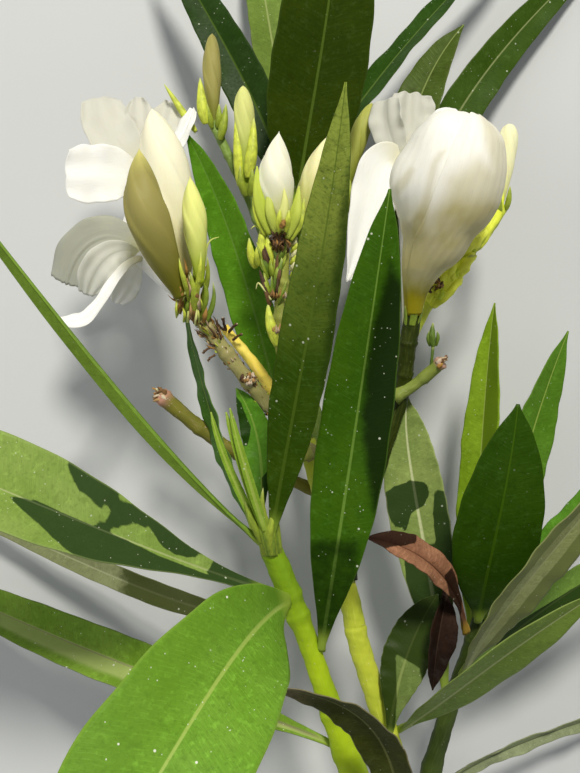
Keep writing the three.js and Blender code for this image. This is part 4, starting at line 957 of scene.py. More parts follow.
    def heart(self, name, mats, less, shade=None, rings=90, sides=72):
        t = 1 - (1 - np.linspace(0, 1, rings)) ** 1.2
        phi, tt = np.meshgrid(np.linspace(-180, 180, sides, endpoint=False), t)
        turn = ((phi + 180 + tt * 160) / 120.0) % 1.0
        h = -row(less, tt) + 0.5 * (smooth(0.0, 0.85, turn) - smooth(0.9, 1.0, turn)) * smooth(0.3, 0.6, tt) * smooth(1.0, 0.9, tt)
        g = self.fit(self.raw(phi, tt * 0.994, h))
        verts = np.concatenate([g.reshape(-1, 3), [g[0].mean(0)], [g[-1].mean(0)]])
        faces = [list(q) for q in grid_faces(rings, sides, closed=True, flip=True)]
        m0, q = rings * sides, (rings - 1) * sides
        for j in range(sides):
            faces += [[m0, j, (j + 1) % sides], [m0 + 1, q + (j + 1) % sides, q + j]]
        cm = np.concatenate([np.stack([np.radians(phi), tt * 5.2], -1).reshape(-1, 2), [[0, 0], [0, 5.2]]])
        ut = np.concatenate([np.stack([turn, tt], -1).reshape(-1, 2), [[0.5, 0], [0.5, 1]]])
        sh = shade(*place(verts)) if shade else np.zeros(len(verts))
        return make(name, verts, faces, mats, uvs={"mm": cm, "ut": ut}, attrs={"shade": sh})


HALF_OPEN_OUTLINE = [(402, 268), (400, 240), (399, 222), (394, 207), (390, 195), (388, 182), (389, 172), (393, 160), (400, 149), (409, 137), (420, 124), (432, 113.5), (443, 110), (462, 110), (475, 113), (487, 120), (498, 130), (505, 140), (508, 155), (508, 166), (506, 180), (502, 196), (495, 213), (484, 229), (470, 241), (452, 254), (440, 266), (428, 280), (414, 282)]


def bloom_painted_shade(x, y):
    """Painted shade on the half open bloom: its right petal, beside its seams, under the left lobe, its lower right
    side and low down.
    """
    right = 0.5 * any_of(x, y, [(480, 112), (498, 128), (512, 150), (512, 182), (500, 212), (491, 190), (489, 158)], soft=7.0)
    seam = 0.42 * any_of(x, y, [(446, 150), (438, 164), (434, 180), (431, 200), (428, 214), (421, 230), (415, 236), (413, 222), (420, 204), (426, 184), (431, 165), (439, 152)], soft=4.0)
    lobe = 0.4 * any_of(x, y, [(411, 166), (396, 183), (391, 192), (398, 196), (410, 182), (415, 170)], soft=3.0)
    belly = 0.62 * any_of(x, y, [(450, 178), (478, 160), (504, 172), (504, 220), (450, 240), (438, 215)], soft=14.0)
    low = 0.88 * smooth(186, 240, y) * smooth(292, 262, y)
    return np.clip(np.maximum.reduce([right, seam, lobe, belly]) + low, 0, 0.95)


bloom = Closing(HALF_OPEN_AXIS, [2.3, 3.1, 5.5, 9.8, 12.6, 11.9, 8.6], (446, 186), HALF_OPEN_OUTLINE, flat=0.86)
# the low colour is partly the bloom's own cream and green towards its foot and partly painted shade; dark is the colour
# of its painted shade
half_mats = [petal_material("half_open_finish", (0.97, 0.945, 0.85), (0.6, 0.53, 0.2), low_at=(0.18, 0.5), sss=0.12, streak=0.7, green=((0.3, 0.26, 0.003), 0.12, 0.3), dark=(0.47, 0.4, 0.14))]
parts_ = [
    bloom.heart("bloom_half_open_heart", half_mats, [0.25, 0.3, 0.5, 0.9, 1.15, 1.05, 0.75], bloom_painted_shade),
    # back, right, left and front petals, each over the one before
    bloom.petal("bloom_half_open_back", [176, 176, 178, 182, 184], [62, 66, 66, 62, 56], 0.985, [-0.2, -0.1, -0.1, 0.0, -0.1], half_mats, seed=1, drop=0.06, bow=0.7),
    bloom.petal("bloom_half_open_right", [92, 92, 90, 84, 78], [60, 62, 62, 60, 54], 0.972, [-0.1, 0.0, 0.2, 0.25, 0.15], half_mats, seed=2, shade=bloom_painted_shade, slope=-0.01, drop=0.07, bow=0.6),
    bloom.petal("bloom_half_open_left", [-50, -48, -42, -34, -28], [66, 66, 66, 60, 54], 0.985, [-0.1, 0.1, 0.35, 0.35, 0.1], half_mats, seed=3, shade=bloom_painted_shade, lobe=0.014, drop=0.07, bow=0.55),
    bloom.petal("bloom_half_open_front", [18, 20, 27, 36, 44], [60, 60, 55, 45, 38], 0.975, [0.05, 0.5, 1.0, 1.0, 0.5], half_mats, seed=4, shade=bloom_painted_shade, edge=(0.3, -0.2), lobe=0.014, bow=0.6, drop=0.08),
]
for ob in parts_:
    rides(ob, "petal", "bloom_half_open")

# ---------------------------------------------------------------- open blooms
PETAL = [0.12, 0.3, 0.52, 0.74, 0.9, 1.0, 1.0, 0.9, 0.55]
SQUARE = [0.12, 0.36, 0.64, 0.86, 0.97, 1.0, 1.0, 0.98, 0.8]
RIBBON = [0.3, 0.46, 0.56, 0.62, 0.72, 0.9, 1.0, 0.8, 0.12]
# tones: white is the petals' own colour; the grey, pleated and lit tones are dimmed copies of it, painted shade for
# petals that lie in shade
WHITE, SHADED_GREY, PLEATED_SHADED, LIT = 0, 1, 2, 3
# per petal: controls, width, roll at foot and tip, fold, outline, tone, (pleat mm, count), (scallop mm, count), ruffle
OPEN = {
    "bloom_left_upper": {
        "tube": [[184, 292, 50], [160, 235, 48], [146, 182, 46]],
        "petals": [
            [[[146, 182, 46], [126, 170, 48], [96, 175, 51], [70, 174, 52]], 15.2, 0, 0, 4, SQUARE, WHITE, (0.3, 2), (0.5, 2), 0.5],
            [[[146, 182, 45], [130, 154, 43], [107, 138, 40], [101, 102, 38]], 13.2, 8, -14, 6, SQUARE, SHADED_GREY, (0.5, 1.5), (0.6, 2), 0.7],
            [[[146, 182, 44], [142, 150, 41], [139, 120, 38], [138, 101, 38]], 8.0, 0, 10, 10, PETAL, SHADED_GREY, (0.3, 2), (0.3, 2), 0.5],
            [[[146, 182, 44], [158, 150, 41], [168, 120, 37], [172, 104, 36]], 9.5, 0, 16, 10, PETAL, SHADED_GREY, (0.5, 2), (0.5, 3), 0.7],
            [[[146, 182, 44], [164, 166, 41], [184, 140, 41], [192, 112, 41]], 5.0, 20, 30, 12, PETAL, WHITE, (0.3, 2), (0.4, 2), 0.5],
        ],
    },
    "bloom_left_lower": {
        "tube": [[181, 297, 52], [160, 278, 50], [141, 256, 48]],
        "petals": [
            [[[141, 256, 48], [124, 228, 48], [82, 228, 49], [68, 280, 46]], 12.5, 0, -8, 6, SQUARE, PLEATED_SHADED, (0.26, 7.5), (0.5, 9), 0.5],
            [[[141, 254, 49], [120, 244, 53], [98, 256, 54], [88, 291, 50]], 9.0, 16, 8, 14, PETAL, LIT, (0.25, 3), (0.35, 4), 0.4],
            [[[141, 258, 50], [104, 266, 56], [106, 344, 62], [53, 318, 61]], 6.2, -30, -50, 14, RIBBON, WHITE, (0.2, 2), (0.0, 3), 0.3],
            [[[141, 258, 46], [134, 270, 44], [125, 286, 43], [117, 299, 42]], 8.0, 10, 20, 8, PETAL, WHITE, (0.3, 3), (0.4, 3), 0.5],
            [[[141, 256, 46], [143, 242, 45], [138, 228, 43], [130, 215, 42]], 7.0, 0, 0, 6, PETAL, WHITE, (0.3, 2), (0.3, 3), 0.4],
        ],
    },
    "bloom_right_back": {
        "tube": [[407, 330, 44], [406, 250, 40], [404, 170, 41]],
        "petals": [
            [[[404, 166, 41], [374, 138, 43], [378, 220, 46], [348, 279, 47]], 13.6, 8, 10, 6, [0.2, 0.62, 0.9, 1.0, 0.98, 0.9, 0.76, 0.5, 0.1], WHITE, (0.3, 2), (0.0, 3), 0.4],
            [[[404, 168, 41], [392, 142, 42], [386, 124, 43], [388, 103, 41]], 10.0, 20, 34, 18, SQUARE, LIT, (0.4, 2), (0.4, 2), 0.6],
            [[[404, 168, 39], [408, 140, 37], [411, 118, 37], [412, 97, 37]], 13.5, -10, -16, 12, SQUARE, SHADED_GREY, (0.5, 2.5), (0.5, 3), 0.9],
            [[[404, 168, 39], [430, 150, 38], [450, 130, 37], [462, 120, 37]], 13, 0, 0, 6, PETAL, WHITE, (0.3, 2), (0.4, 3), 0.5],
            [[[404, 168, 41], [430, 180, 38], [452, 190, 37], [470, 196, 37]], 13, 0, 0, 6, PETAL, WHITE, (0.3, 2), (0.4, 3), 0.5],
            [[[404, 168, 41], [412, 195, 38], [422, 215, 37], [430, 236, 37]], 12, 0, 0, 6, PETAL, WHITE, (0.3, 2), (0.4, 3), 0.5],
        ],
    },
}
for b, (name, look) in enumerate(OPEN.items()):
    # one white petal finish and three dimmed copies of it, painted shade
    tones = [petal_material(name + "_white_finish", (0.9, 0.89, 0.85), (0.74, 0.71, 0.5), low_at=(0.0, 0.35), sss=0.15, seed=5.0 * b, streak=0.9),
             petal_material(name + "_painted_shade_grey_finish", (0.62, 0.61, 0.53), (0.6, 0.57, 0.38), low_at=(0.0, 0.5), sss=0.15, seed=5.0 * b + 2, streak=0.9),
             petal_material(name + "_pleated_painted_shade_finish", (0.36, 0.37, 0.31), (0.6, 0.6, 0.33), low_at=(0.0, 0.3), sss=0.1, seed=5.0 * b + 3, streak=1.6),
             petal_material(name + "_lit_finish", (0.6, 0.6, 0.53), (0.66, 0.66, 0.4), low_at=(0.0, 0.3), sss=0.1, seed=5.0 * b + 4, streak=1.2)]
    for k, (ctrl, width, ra, rb, fold, outline, tone, pleat, scallop, ruffle) in enumerate(look["petals"]):
        ob = blade(f"{name}_petal_{k + 1}", [ctrl, width, ra, rb, fold, "lance", 1], [tones[tone]], steps=56, wave=ruffle, waves=1.7, seed=40 + 7 * b + k, thick=0.34, rib_down=0.0, free=False, profile=outline, petiole=0.8, round_tip=0.9 if outline is not RIBBON else 0.2, scallop=scallop, pleat=pleat)
        rides(ob, "petal", name)
    ob = turned(name + "_tube", look["tube"], lambda t: lerp(1.3, 2.6, t * t), [tones[0]], sides=24, rings=20, step=0.0, tuck=1.0)
    rides(ob, "petal", name)

# ---------------------------------------------------------------- small parts
class Bits:
    """Many small tapering shapes gathered in one mesh."""

    def __init__(self):
        self.v, self.f, self.mm, self.ut, self.tint, self.n = [], [], [], [], [], 0

    def sweep(self, axis, radii, tint=0.5, flat=1.0, turn=0.0, sides=12, rings=16, raw=False, lump=0.0, seed=0):
        """axis: places in the layout (or mm if raw). flat squeezes it towards the camera side, turned by turn degrees."""
        p = np.asarray(axis, float) if raw else at(axis)
        t = np.linspace(0, 1, rings)
        c = row(p, t)
        tan = unit(row(p, np.minimum(1, t + 0.02)) - row(p, np.maximum(0, t - 0.02)))
        front = unit(UP - tan * (tan @ UP)[:, None] + 1e-4)
        right = np.cross(tan, front)
        a0 = np.radians(turn)
        front, right = front * np.cos(a0) + right * np.sin(a0), right * np.cos(a0) - front * np.sin(a0)
        r = np.maximum(row(radii, t), 0.03)
        a = np.linspace(0, 2 * np.pi, sides, endpoint=False)
        A, T = np.meshgrid(a, t)
        rr = np.broadcast_to(r[:, None], A.shape)
        if lump:
            q = np.random.RandomState(seed).uniform(0, 6.28, 4)
            rr = rr * (1 + lump * (np.sin(A * 2 + T * 9 + q[0]) + np.sin(A * 3 - T * 14 + q[1]) + np.sin(T * 21 + A + q[2])) / 2)
        g = c[:, None, :] + front[:, None, :] * (rr * np.cos(A) * flat)[..., None] + right[:, None, :] * (rr * np.sin(A))[..., None]
        self.v.append(np.concatenate([g.reshape(-1, 3), [c[0]], [c[-1] + tan[-1] * r[-1] * 0.6]]))
        m0 = rings * sides
        fs = [list(x) for x in grid_faces(rings, sides, closed=True, flip=True)]
        for j in range(sides):
            fs.append([m0, j, (j + 1) % sides])
            q = (rings - 1) * sides
            fs.append([m0 + 1, q + (j + 1) % sides, q + j])
        self.f += [[x + self.n for x in f] for f in fs]
        self.n += m0 + 2
        length = np.concatenate([[0], np.cumsum(np.linalg.norm(np.diff(c, axis=0), axis=1))])
        self.mm.append(np.concatenate([np.stack([(A - np.pi) * r[:, None] / 10, np.broadcast_to(length[:, None], A.shape) / 10], -1).reshape(-1, 2), [[0, 0], [0, length[-1] / 10]]]))
        self.ut.append(np.concatenate([np.stack([A / (2 * np.pi), T], -1).reshape(-1, 2), [[0.5, 0], [0.5, 1]]]))
        self.tint.append(np.full(m0 + 2, tint))

    def build(self, name, mats):
        return make(name, np.concatenate(self.v), self.f, mats, uvs={"mm": np.concatenate(self.mm), "ut": np.concatenate(self.ut)}, attrs={"tint": np.concatenate(self.tint)})


def bits_material(name, stops, tip, tip_at=(0.6, 1.0), rough=0.5, seed=0.0, mottle=0.35, sss=0.0):
    """stops: colours over the tint. tip: colour towards the ends."""
    n = Nodes(name)
    mm = n.xyz(n.uv("mm"))
    ut = n.xyz(n.uv("ut"))
    tint = n.attr("tint")
    flat = n.combine(mm[0], mm[1], n.math("ADD", n.math("MULTIPLY", tint, 7.0), seed))
    big = n.noise(flat, 6.0, 3.0)
    lines = n.noise(n.combine(n.math("MULTIPLY", mm[0], 8.0), mm[1], seed), 5.0, 3.0)
    col = n.ramp(tint, stops)
    col = n.mix(n.math("MULTIPLY", n.remap(big, 0.35, 0.7), mottle), col, tuple(c * 0.5 for c in stops[0][1]))
    if tip:
        col = n.mix(n.math("MULTIPLY", n.remap(n.math("ADD", ut[1], n.math("MULTIPLY", n.math("SUBTRACT", big, 0.5), 0.3)), *tip_at), 0.85), col, tip)
    n.put(n.bsdf.inputs["Base Color"], col)
    n.put(n.bsdf.inputs["Roughness"], n.remap(lines, 0.3, 0.7, rough - 0.05, rough + 0.12, False))
    if sss:
        n.bsdf.inputs["Subsurface Weight"].default_value = sss
        n.bsdf.inputs["Subsurface Radius"].default_value = (0.002, 0.0015, 0.001)
    n.put(n.bsdf.inputs["Normal"], n.bump(n.math("ADD", lines, big), 0.5, 0.00015))
    return n.mat


def pointed(r, fat=0.45):
    """Radii of a small pointed scale."""
    return [r * 0.55, r * 0.85, r, r * 0.92, r * 0.7, r * 0.4, r * 0.08]


green = Bits()  # tint 0 dark green, 0.5 green, 1 yellow-green
brown = Bits()  # tint 0 dark brown, 0.5 brown, 1 pale straw
pale = Bits()  # cream and white buds

# scales and small buds round the centre buds
pale.sweep([[272, 234, 59.5], [263, 212, 61.5], [258, 190, 62.5], [257, 166, 62.5]], pointed(1.9), 0.0, 0.5, 20)
green.sweep([[266, 236, 59], [258, 218, 61], [255, 200, 61.8], [255, 182, 61.8]], pointed(1.0), 0.9, 0.5, 20)
pale.sweep([[278, 236, 60], [271, 216, 62.5], [269, 200, 63], [270, 184, 62.5]], pointed(1.2), 0.05, 0.5)
pale.sweep([[286, 238, 60], [294, 218, 61.5], [297, 204, 61.8], [299, 186, 61.5]], pointed(1.7), 0.02, 0.55, -20)
green.sweep([[290, 240, 59.5], [299, 224, 60.8], [302, 212, 61], [304, 198, 60.6]], pointed(1.2), 0.85, 0.55, -20)
green.sweep([[298, 240, 56], [304, 224, 57], [302, 210, 57]], pointed(1.7), 0.5, 0.6)
pale.sweep([[281, 230, 62.5], [283, 216, 64], [285, 202, 64.6], [284, 188, 64.2]], pointed(1.25), 0.2, 0.8)
green.sweep([[279, 232, 63], [279, 219, 65], [280, 209, 65.4]], pointed(0.75), 0.95, 0.6)
green.sweep([[286, 232, 63], [288, 220, 64.8], [289, 210, 65]], pointed(0.75), 0.9, 0.6)
brown.sweep([[281, 228, 64.4], [283, 224, 65], [284, 220, 64.8]], [0.4, 0.7, 0.3], 0.62, lump=0.3)
for i in range(26):
    q = np.random.RandomState(60 + i)
    x, y = 281 + q.uniform(-9, 8), 241 + q.uniform(-9, 9)
    brown.sweep([[x, y + 5, 58.5], [x + q.uniform(-4, 4), y, 60 + q.uniform(0, 1.5)], [x + q.uniform(-6, 6), y - 6, 60.5]], [0.4, 0.38, 0.1], q.uniform(0, 0.75), 0.5, q.uniform(-60, 60), 8, 7, lump=0.2, seed=i)
green.sweep([[256, 268, 55.5], [251, 254, 57.3], [249, 238, 58]], pointed(1.15), 1.0, 0.7)
green.sweep([[265, 270, 56.5], [262, 248, 58.4], [261, 227, 59]], pointed(1.4), 0.95, 0.7)
green.sweep([[270, 268, 56.5], [269, 252, 58.4], [267, 234, 58.6]], pointed(1.2), 1.0, 0.7)
green.sweep([[259, 266, 57], [257, 256, 58.6], [257, 246, 58.8]], pointed(0.8), 0.9, 0.7)
pale.sweep([[261, 229, 59], [255, 226, 59.8], [251, 229, 59.8]], [0.22, 0.2, 0.08], 0.1)
# dim scales below them, between green and brown
for i in range(26):
    q = np.random.RandomState(90 + i)
    x, y = 274 + q.uniform(-13, 13), 296 - q.uniform(0, 44)
    lean = (x - 274) * 0.45
    batch = green if i % 3 else brown
    batch.sweep([[274 + (x - 274) * 0.5, y + 12, 57], [x, y, 58.4 + q.uniform(0, 1.0)], [x + lean * 0.8, y - 12, 58.3 + q.uniform(0, 0.8)]], pointed(q.uniform(0.45, 0.9)), q.uniform(0.2, 0.8) if i % 3 else q.uniform(0.05, 0.5), 0.4, q.uniform(-50, 50), 9, 12)
pale.sweep([[271, 300, 58.3], [263, 288, 59.4], [258, 283, 59.4], [256, 289, 59]], [0.26, 0.26, 0.2, 0.08], 0.25)
for i in range(7):
    y = 272 - i * 6
    q = np.random.RandomState(20 + i)
    (pale if i % 2 else green).sweep([[291, y + 4, 57], [294 + q.uniform(-1, 1), y, 58.3], [296 + q.uniform(-1, 2), y - 5, 58.4]], [0.4, 0.55, 0.15], 0.4 if i % 2 else 0.9, lump=0.2, seed=i)
green.sweep([[277, 346, 56.2], [272, 330, 57.8], [269, 316, 58], [268, 303, 57.6]], pointed(1.35), 0.95, 0.55)
for i in range(7):
    q = np.random.RandomState(130 + i)
    brown.sweep([[273 + i * 2.0, 333, 57.8], [274 + i * 2.0 + q.uniform(-1, 1), 330 + q.uniform(-1, 1), 58.6], [274 + i * 2.0, 326 + q.uniform(-3, 2), 58.4]], [0.3, 0.35, 0.12], q.uniform(0.75, 1.0), 0.6, lump=0.3, seed=i, sides=8, rings=7)
    brown.sweep([[270 + i * 3.0, 298, 58.0], [271 + i * 3.0, 295 + q.uniform(-1, 1), 59.0], [271 + i * 3.0 + q.uniform(-2, 2), 290 + q.uniform(-2, 3), 58.9]], [0.3, 0.35, 0.1], q.uniform(0.4, 1.0), 0.6, lump=0.3, seed=i + 9, sides=8, rings=7)

# left cluster: scales, spent stalks and dry bristles along the stalk
green.sweep([[186, 308, 60], [178, 290, 64], [171, 276, 65.5], [168, 264, 65.5]], pointed(0.7), 0.8, 0.5)
green.sweep([[190, 304, 61], [185, 284, 67], [181, 270, 69], [179, 258, 69]], pointed(0.6), 0.9, 0.6)
green.sweep([[195, 306, 61], [198, 284, 66], [200, 268, 68.6], [201, 252, 69]], pointed(0.7), 0.95, 0.6)
green.sweep([[199, 306, 60], [206, 286, 63.5], [208, 270, 66], [207, 256, 67]], pointed(0.7), 0.8, 0.6)
green.sweep([[192, 316, 60.5], [195, 300, 64], [193, 286, 66], [190, 272, 67]], pointed(1.0), 0.8, 0.6)
green.sweep([[200, 318, 59.5], [205, 302, 62], [206, 290, 63.4], [202, 278, 64.5]], pointed(0.8), 0.6, 0.6)
green.sweep([[204, 326, 58.5], [211, 310, 60], [214, 296, 60.5], [213, 282, 60.5]], pointed(0.7), 0.45, 0.6)
pale.sweep([[206, 256, 66.8], [207, 247, 67.6], [211, 240, 67.8], [219, 237, 67.6]], [0.22, 0.22, 0.18, 0.07], 0.1)
for i in range(46):
    q = np.random.RandomState(700 + i)
    x, y = 190 + q.uniform(-13, 15), 296 + q.uniform(-26, 22)
    z = 63.5 + q.uniform(0, 2.6) - max(0.0, (y - 290) * 0.12)
    batch = (green, brown, brown, pale)[i % 4]
    batch.sweep([[x - 1, y + 7, z - 2.5], [x + q.uniform(-2, 2), y, z], [x + q.uniform(-3, 4), y - q.uniform(6, 13), z + q.uniform(-0.4, 0.8)]], [0.35, q.uniform(0.35, 0.62), 0.08], q.uniform(0.5, 0.95) if i % 4 in (0, 1, 2) else q.uniform(0.0, 0.4), 0.55, q.uniform(-70, 70), 8, 9, lump=0.15, seed=i)
stalk = LIMB["left_stalk"]
tn, sd, upv = stalk.frames(np.linspace(0, 1, 101))
cl = stalk.c(np.linspace(0, 1, 101))
rl = stalk.radius(np.linspace(0, 1, 101))
for i in range(150):
    q = np.random.RandomState(200 + i)
    k = int(q.uniform(70, 100)) if i % 6 else int(q.uniform(36, 70))
    ang = q.uniform(-1.9, 1.9)
    out = upv[k] * math.cos(ang) + sd[k] * math.sin(ang)
    if out[2] < -0.3:
        out = -out
    base = cl[k] + out * rl[k] * 0.9
    ln = q.uniform(1.6, 4.2) if i % 6 else q.uniform(0.8, 1.4)
    end = base + out * ln * q.uniform(0.15, 0.45) + tn[k] * ln * q.uniform(0.5, 1.0)
    mid = (base + end) / 2 + out * ln * 0.12 + sd[k] * q.uniform(-0.3, 0.3)
    wide = q.uniform(0.12, 0.34)
    (brown if i % 4 else green).sweep([base, mid, end], [wide, wide * 0.9, wide * 0.15], q.uniform(0, 1) ** 0.9 if i % 4 else q.uniform(0.5, 0.95), 0.4, q.uniform(-80, 80), 7, 7, raw=True)
# rings of old leaf joints on the stalk, with a torn edge
for k in (30, 47, 62, 78):
    for j in range(5):
        q = np.random.RandomState(500 + k + j * 7)
        ang = -1.5 + j * 0.75 + q.uniform(-0.3, 0.3)
        out = upv[k] * math.cos(ang) + sd[k] * math.sin(ang)
        base = cl[k] + out * rl[k] * 0.98
        brown.sweep([base - tn[k] * 0.3, base + out * 0.25, base + tn[k] * q.uniform(0.3, 0.8) + out * 0.2], [0.22, 0.26, 0.1], q.uniform(0.3, 1.0), 0.6, q.uniform(-40, 40), 8, 6, raw=True, lump=0.2, seed=j)
# dark spent stalks at the tan stalk's end
for k, (ax, r) in enumerate((
    ([[226, 330, 48], [224, 324, 49.5], [223, 318, 50.5]], 0.42), ([[229, 332, 48], [233, 327, 50], [237, 324, 51]], 0.4), ([[233, 340, 48], [238, 336, 50], [242, 334, 50.6]], 0.36),
    ([[224, 330, 48.5], [219, 326, 50.5], [216, 320, 52]], 0.36), ([[211, 347, 56.8], [206, 350, 57.6], [203, 353, 57.5]], 0.34), ([[215, 355, 56.6], [210, 358, 57.4], [208, 361, 57.2]], 0.3),
)):
    brown.sweep(ax, [r, r * 0.85, r], 0.08 + 0.1 * (k % 3), lump=0.25, seed=k + 40)
    e = np.array(ax[-1], float)
    d = e - np.array(ax[-2], float)
    pale.sweep([e - d * 0.05, e + d * 0.08], [r * 0.8, r * 0.5], 0.7, rings=5)
# the pale scab where a side stalk fell off
for i in range(34):
    q = np.random.RandomState(330 + i)
    a0, rr_ = q.uniform(0, 6.28), q.uniform(0, 7) 
    x, y = 249 + rr_ * math.cos(a0) * 1.1, 378 + rr_ * math.sin(a0) * 0.8
    (pale if i % 3 else brown).sweep([[x, y + 2, 53.6], [x + q.uniform(-1.5, 1.5), y, 54.6 + q.uniform(0, 0.8)], [x + q.uniform(-2.5, 2.5), y - 3, 54.6]], [0.45, 0.45, 0.18], q.uniform(0.5, 1.0) if i % 3 else q.uniform(0.1, 1.0), 0.8, lump=0.4, seed=i, sides=8, rings=7)
# torn tip of the old stub, and of the green stub
for x0, y0, z0, r0, cnt in ((160, 395, 42, 8.5, 26), (442, 362, 51, 5.5, 12)):
    for i in range(cnt):
        q = np.random.RandomState(int(x0) + i)
        a0, rr_ = q.uniform(0, 6.28), q.uniform(0, 1) ** 0.5 * r0
        x, y, z = x0 + rr_ * math.cos(a0) * 0.5, y0 + rr_ * math.sin(a0) * 0.7, z0 + q.uniform(-1.6, 1.8) * r0 / 8.5
        dx = -7 if x0 < 300 else 5
        (brown if i % 3 else pale).sweep([[x - dx * 0.6, y + 3, z], [x, y, z + 0.4], [x + dx * q.uniform(0.2, 1.0), y + q.uniform(-4, 3), z + q.uniform(-0.5, 0.8)]], [0.6, 0.5, 0.15], q.uniform(0.3, 1.0), 0.8, lump=0.4, seed=i, sides=8, rings=7)

# knobbly green stalks beside the half open bloom
knobs = Bits()
for ax, r, tint, fl in (
    ([[430, 304, 44], [444, 286, 47], [456, 266, 47.5], [464, 250, 47]], [1.7, 2.2, 2.5, 1.6], 1.0, 0.8),
    ([[427, 300, 46], [436, 288, 48.5], [443, 276, 49.5], [446, 268, 49]], [1.0, 1.25, 1.2, 0.5], 0.95, 0.9),
    ([[434, 306, 45], [446, 294, 47.5], [456, 284, 48], [462, 278, 47]], [1.0, 1.3, 1.25, 0.5], 0.95, 0.9),
    ([[448, 282, 48], [450, 268, 50], [454, 254, 50], [458, 244, 49]], [1.2, 1.7, 1.6, 0.6], 0.9, 0.8),
    ([[456, 280, 47], [463, 268, 49.5], [470, 258, 49.5], [475, 252, 48.5]], [1.0, 1.5, 1.2, 0.3], 1.0, 0.8),
    ([[460, 262, 47], [468, 248, 49], [478, 240, 48], [488, 230, 46]], [1.2, 1.6, 1.3, 0.5], 0.95, 0.8),
    ([[452, 262, 49], [456, 250, 51], [464, 242, 50.5]], [0.9, 1.2, 0.5], 0.95, 0.8),
    ([[478, 246, 45], [490, 228, 45.5], [498, 208, 45], [501, 190, 44.5]], [1.2, 1.35, 1.3, 0.9], 0.85, 0.85),
):
    knobs.sweep(ax, r, tint, fl, lump=0.2, seed=int(ax[0][0]), sides=18, rings=26)
for i in range(16):
    q = np.random.RandomState(460 + i)
    k = q.uniform(0, 1)
    x, y = lerp(436, 476, k) + q.uniform(-7, 7), lerp(294, 246, k) + q.uniform(-6, 6)
    knobs.sweep([[x - 2, y + 5, 47.5], [x, y, 50.2 - 2.0 * k], [x + q.uniform(0, 5), y - q.uniform(4, 8), 50.0 - 2.2 * k]], [0.5, q.uniform(0.7, 1.0), 0.15], q.uniform(0.3, 1.0), 0.8, lump=0.25, seed=i, sides=12, rings=12)
for i in range(14):
    q = np.random.RandomState(400 + i)
    x, y = 434 + q.uniform(-6, 8), 284 + q.uniform(-8, 8)
    brown.sweep([[x, y + 2, 49], [x + q.uniform(-2, 2), y, 50.4], [x + q.uniform(-4, 4), y - 4, 50.2]], [0.35, 0.4, 0.1], q.uniform(0, 0.9), 0.7, lump=0.3, seed=i, sides=8, rings=7)
pale.sweep([[466, 258, 49.5], [471, 256, 50.4], [477, 256, 50]], [0.35, 0.35, 0.1], 0.1)
pale.sweep([[462, 248, 50], [466, 245, 51], [471, 246, 51]], [0.3, 0.25, 0.08], 0.1)
# the little brownish bud and the stub's scar
green.sweep([[430, 372, 49.5], [432, 358, 50.5], [433, 345, 50.5]], [0.45, 0.4, 0.45], 0.2)
green.sweep([[433, 347, 50.5], [432, 336, 51], [433, 323, 51]], [0.5, 0.95, 0.15], 0.22, lump=0.1)
green.sweep([[430, 346, 50], [428, 338, 51], [429, 331, 51]], pointed(0.5), 0.3, 0.7)
green.sweep([[436, 346, 50], [438, 337, 51], [437, 331, 51]], pointed(0.5), 0.35, 0.7)
# sepals at the foot of the half open bloom
for i in range(5):
    a0 = math.radians(-70 + 72 * i)
    c0, c1, c2 = at([[411, 326, 51], [413, 314, 52], [415, 298, 53.6]])
    f0, r0 = np.array([0.0, 0.0, 1.0]), np.array([1.0, 0.0, 0.0])
    o = f0 * math.cos(a0) + r0 * math.sin(a0)
    green.sweep([c0 + o * 1.7, c1 + o * 2.15, lerp(c1, c2, 0.5) + o * 2.55], [0.8, 0.9, 0.12], 0.55, 0.3, math.degrees(a0), raw=True)

# buds of the flower heads behind
for ax, r, tint in (
    ([[206, 124, 40], [202, 104, 41], [200, 78, 41]], 1.6, 0.97),
    ([[196, 132, 39], [180, 108, 39.5], [164, 84, 39]], 1.0, 0.95),
    ([[248, 178, 44], [252, 150, 45.5], [254, 118, 45]], 1.6, 0.95),
    ([[240, 186, 42], [238, 150, 44], [236, 112, 44]], 1.4, 1.0),
    ([[220, 140, 40], [224, 122, 41], [226, 104, 41]], 1.2, 0.7),
    ([[352, 214, 40], [350, 196, 42], [349, 178, 42]], 1.3, 0.8),
    ([[362, 216, 40], [362, 200, 42], [368, 184, 42]], 1.4, 0.6),
):
    green.sweep(ax, pointed(r), tint, 0.95, rings=20, sides=16)
for ax, r in (
    ([[212, 128, 39.5], [209, 116, 41], [207, 104, 41.5]], 0.9),
    ([[218, 128, 39.5], [219, 116, 41], [219, 104, 41]], 0.9),
    ([[246, 196, 43], [241, 182, 45], [240, 166, 45.6]], 1.0),
    ([[250, 196, 43], [252, 182, 45], [252, 168, 45.5]], 1.0),
    ([[500, 214, 45], [499, 202, 46.4], [501, 190, 46.6]], 0.9),
    ([[506, 210, 44], [509, 198, 45.2], [510, 186, 45.4]], 0.8),
):
    green.sweep(ax, pointed(r), 0.7, 0.6)

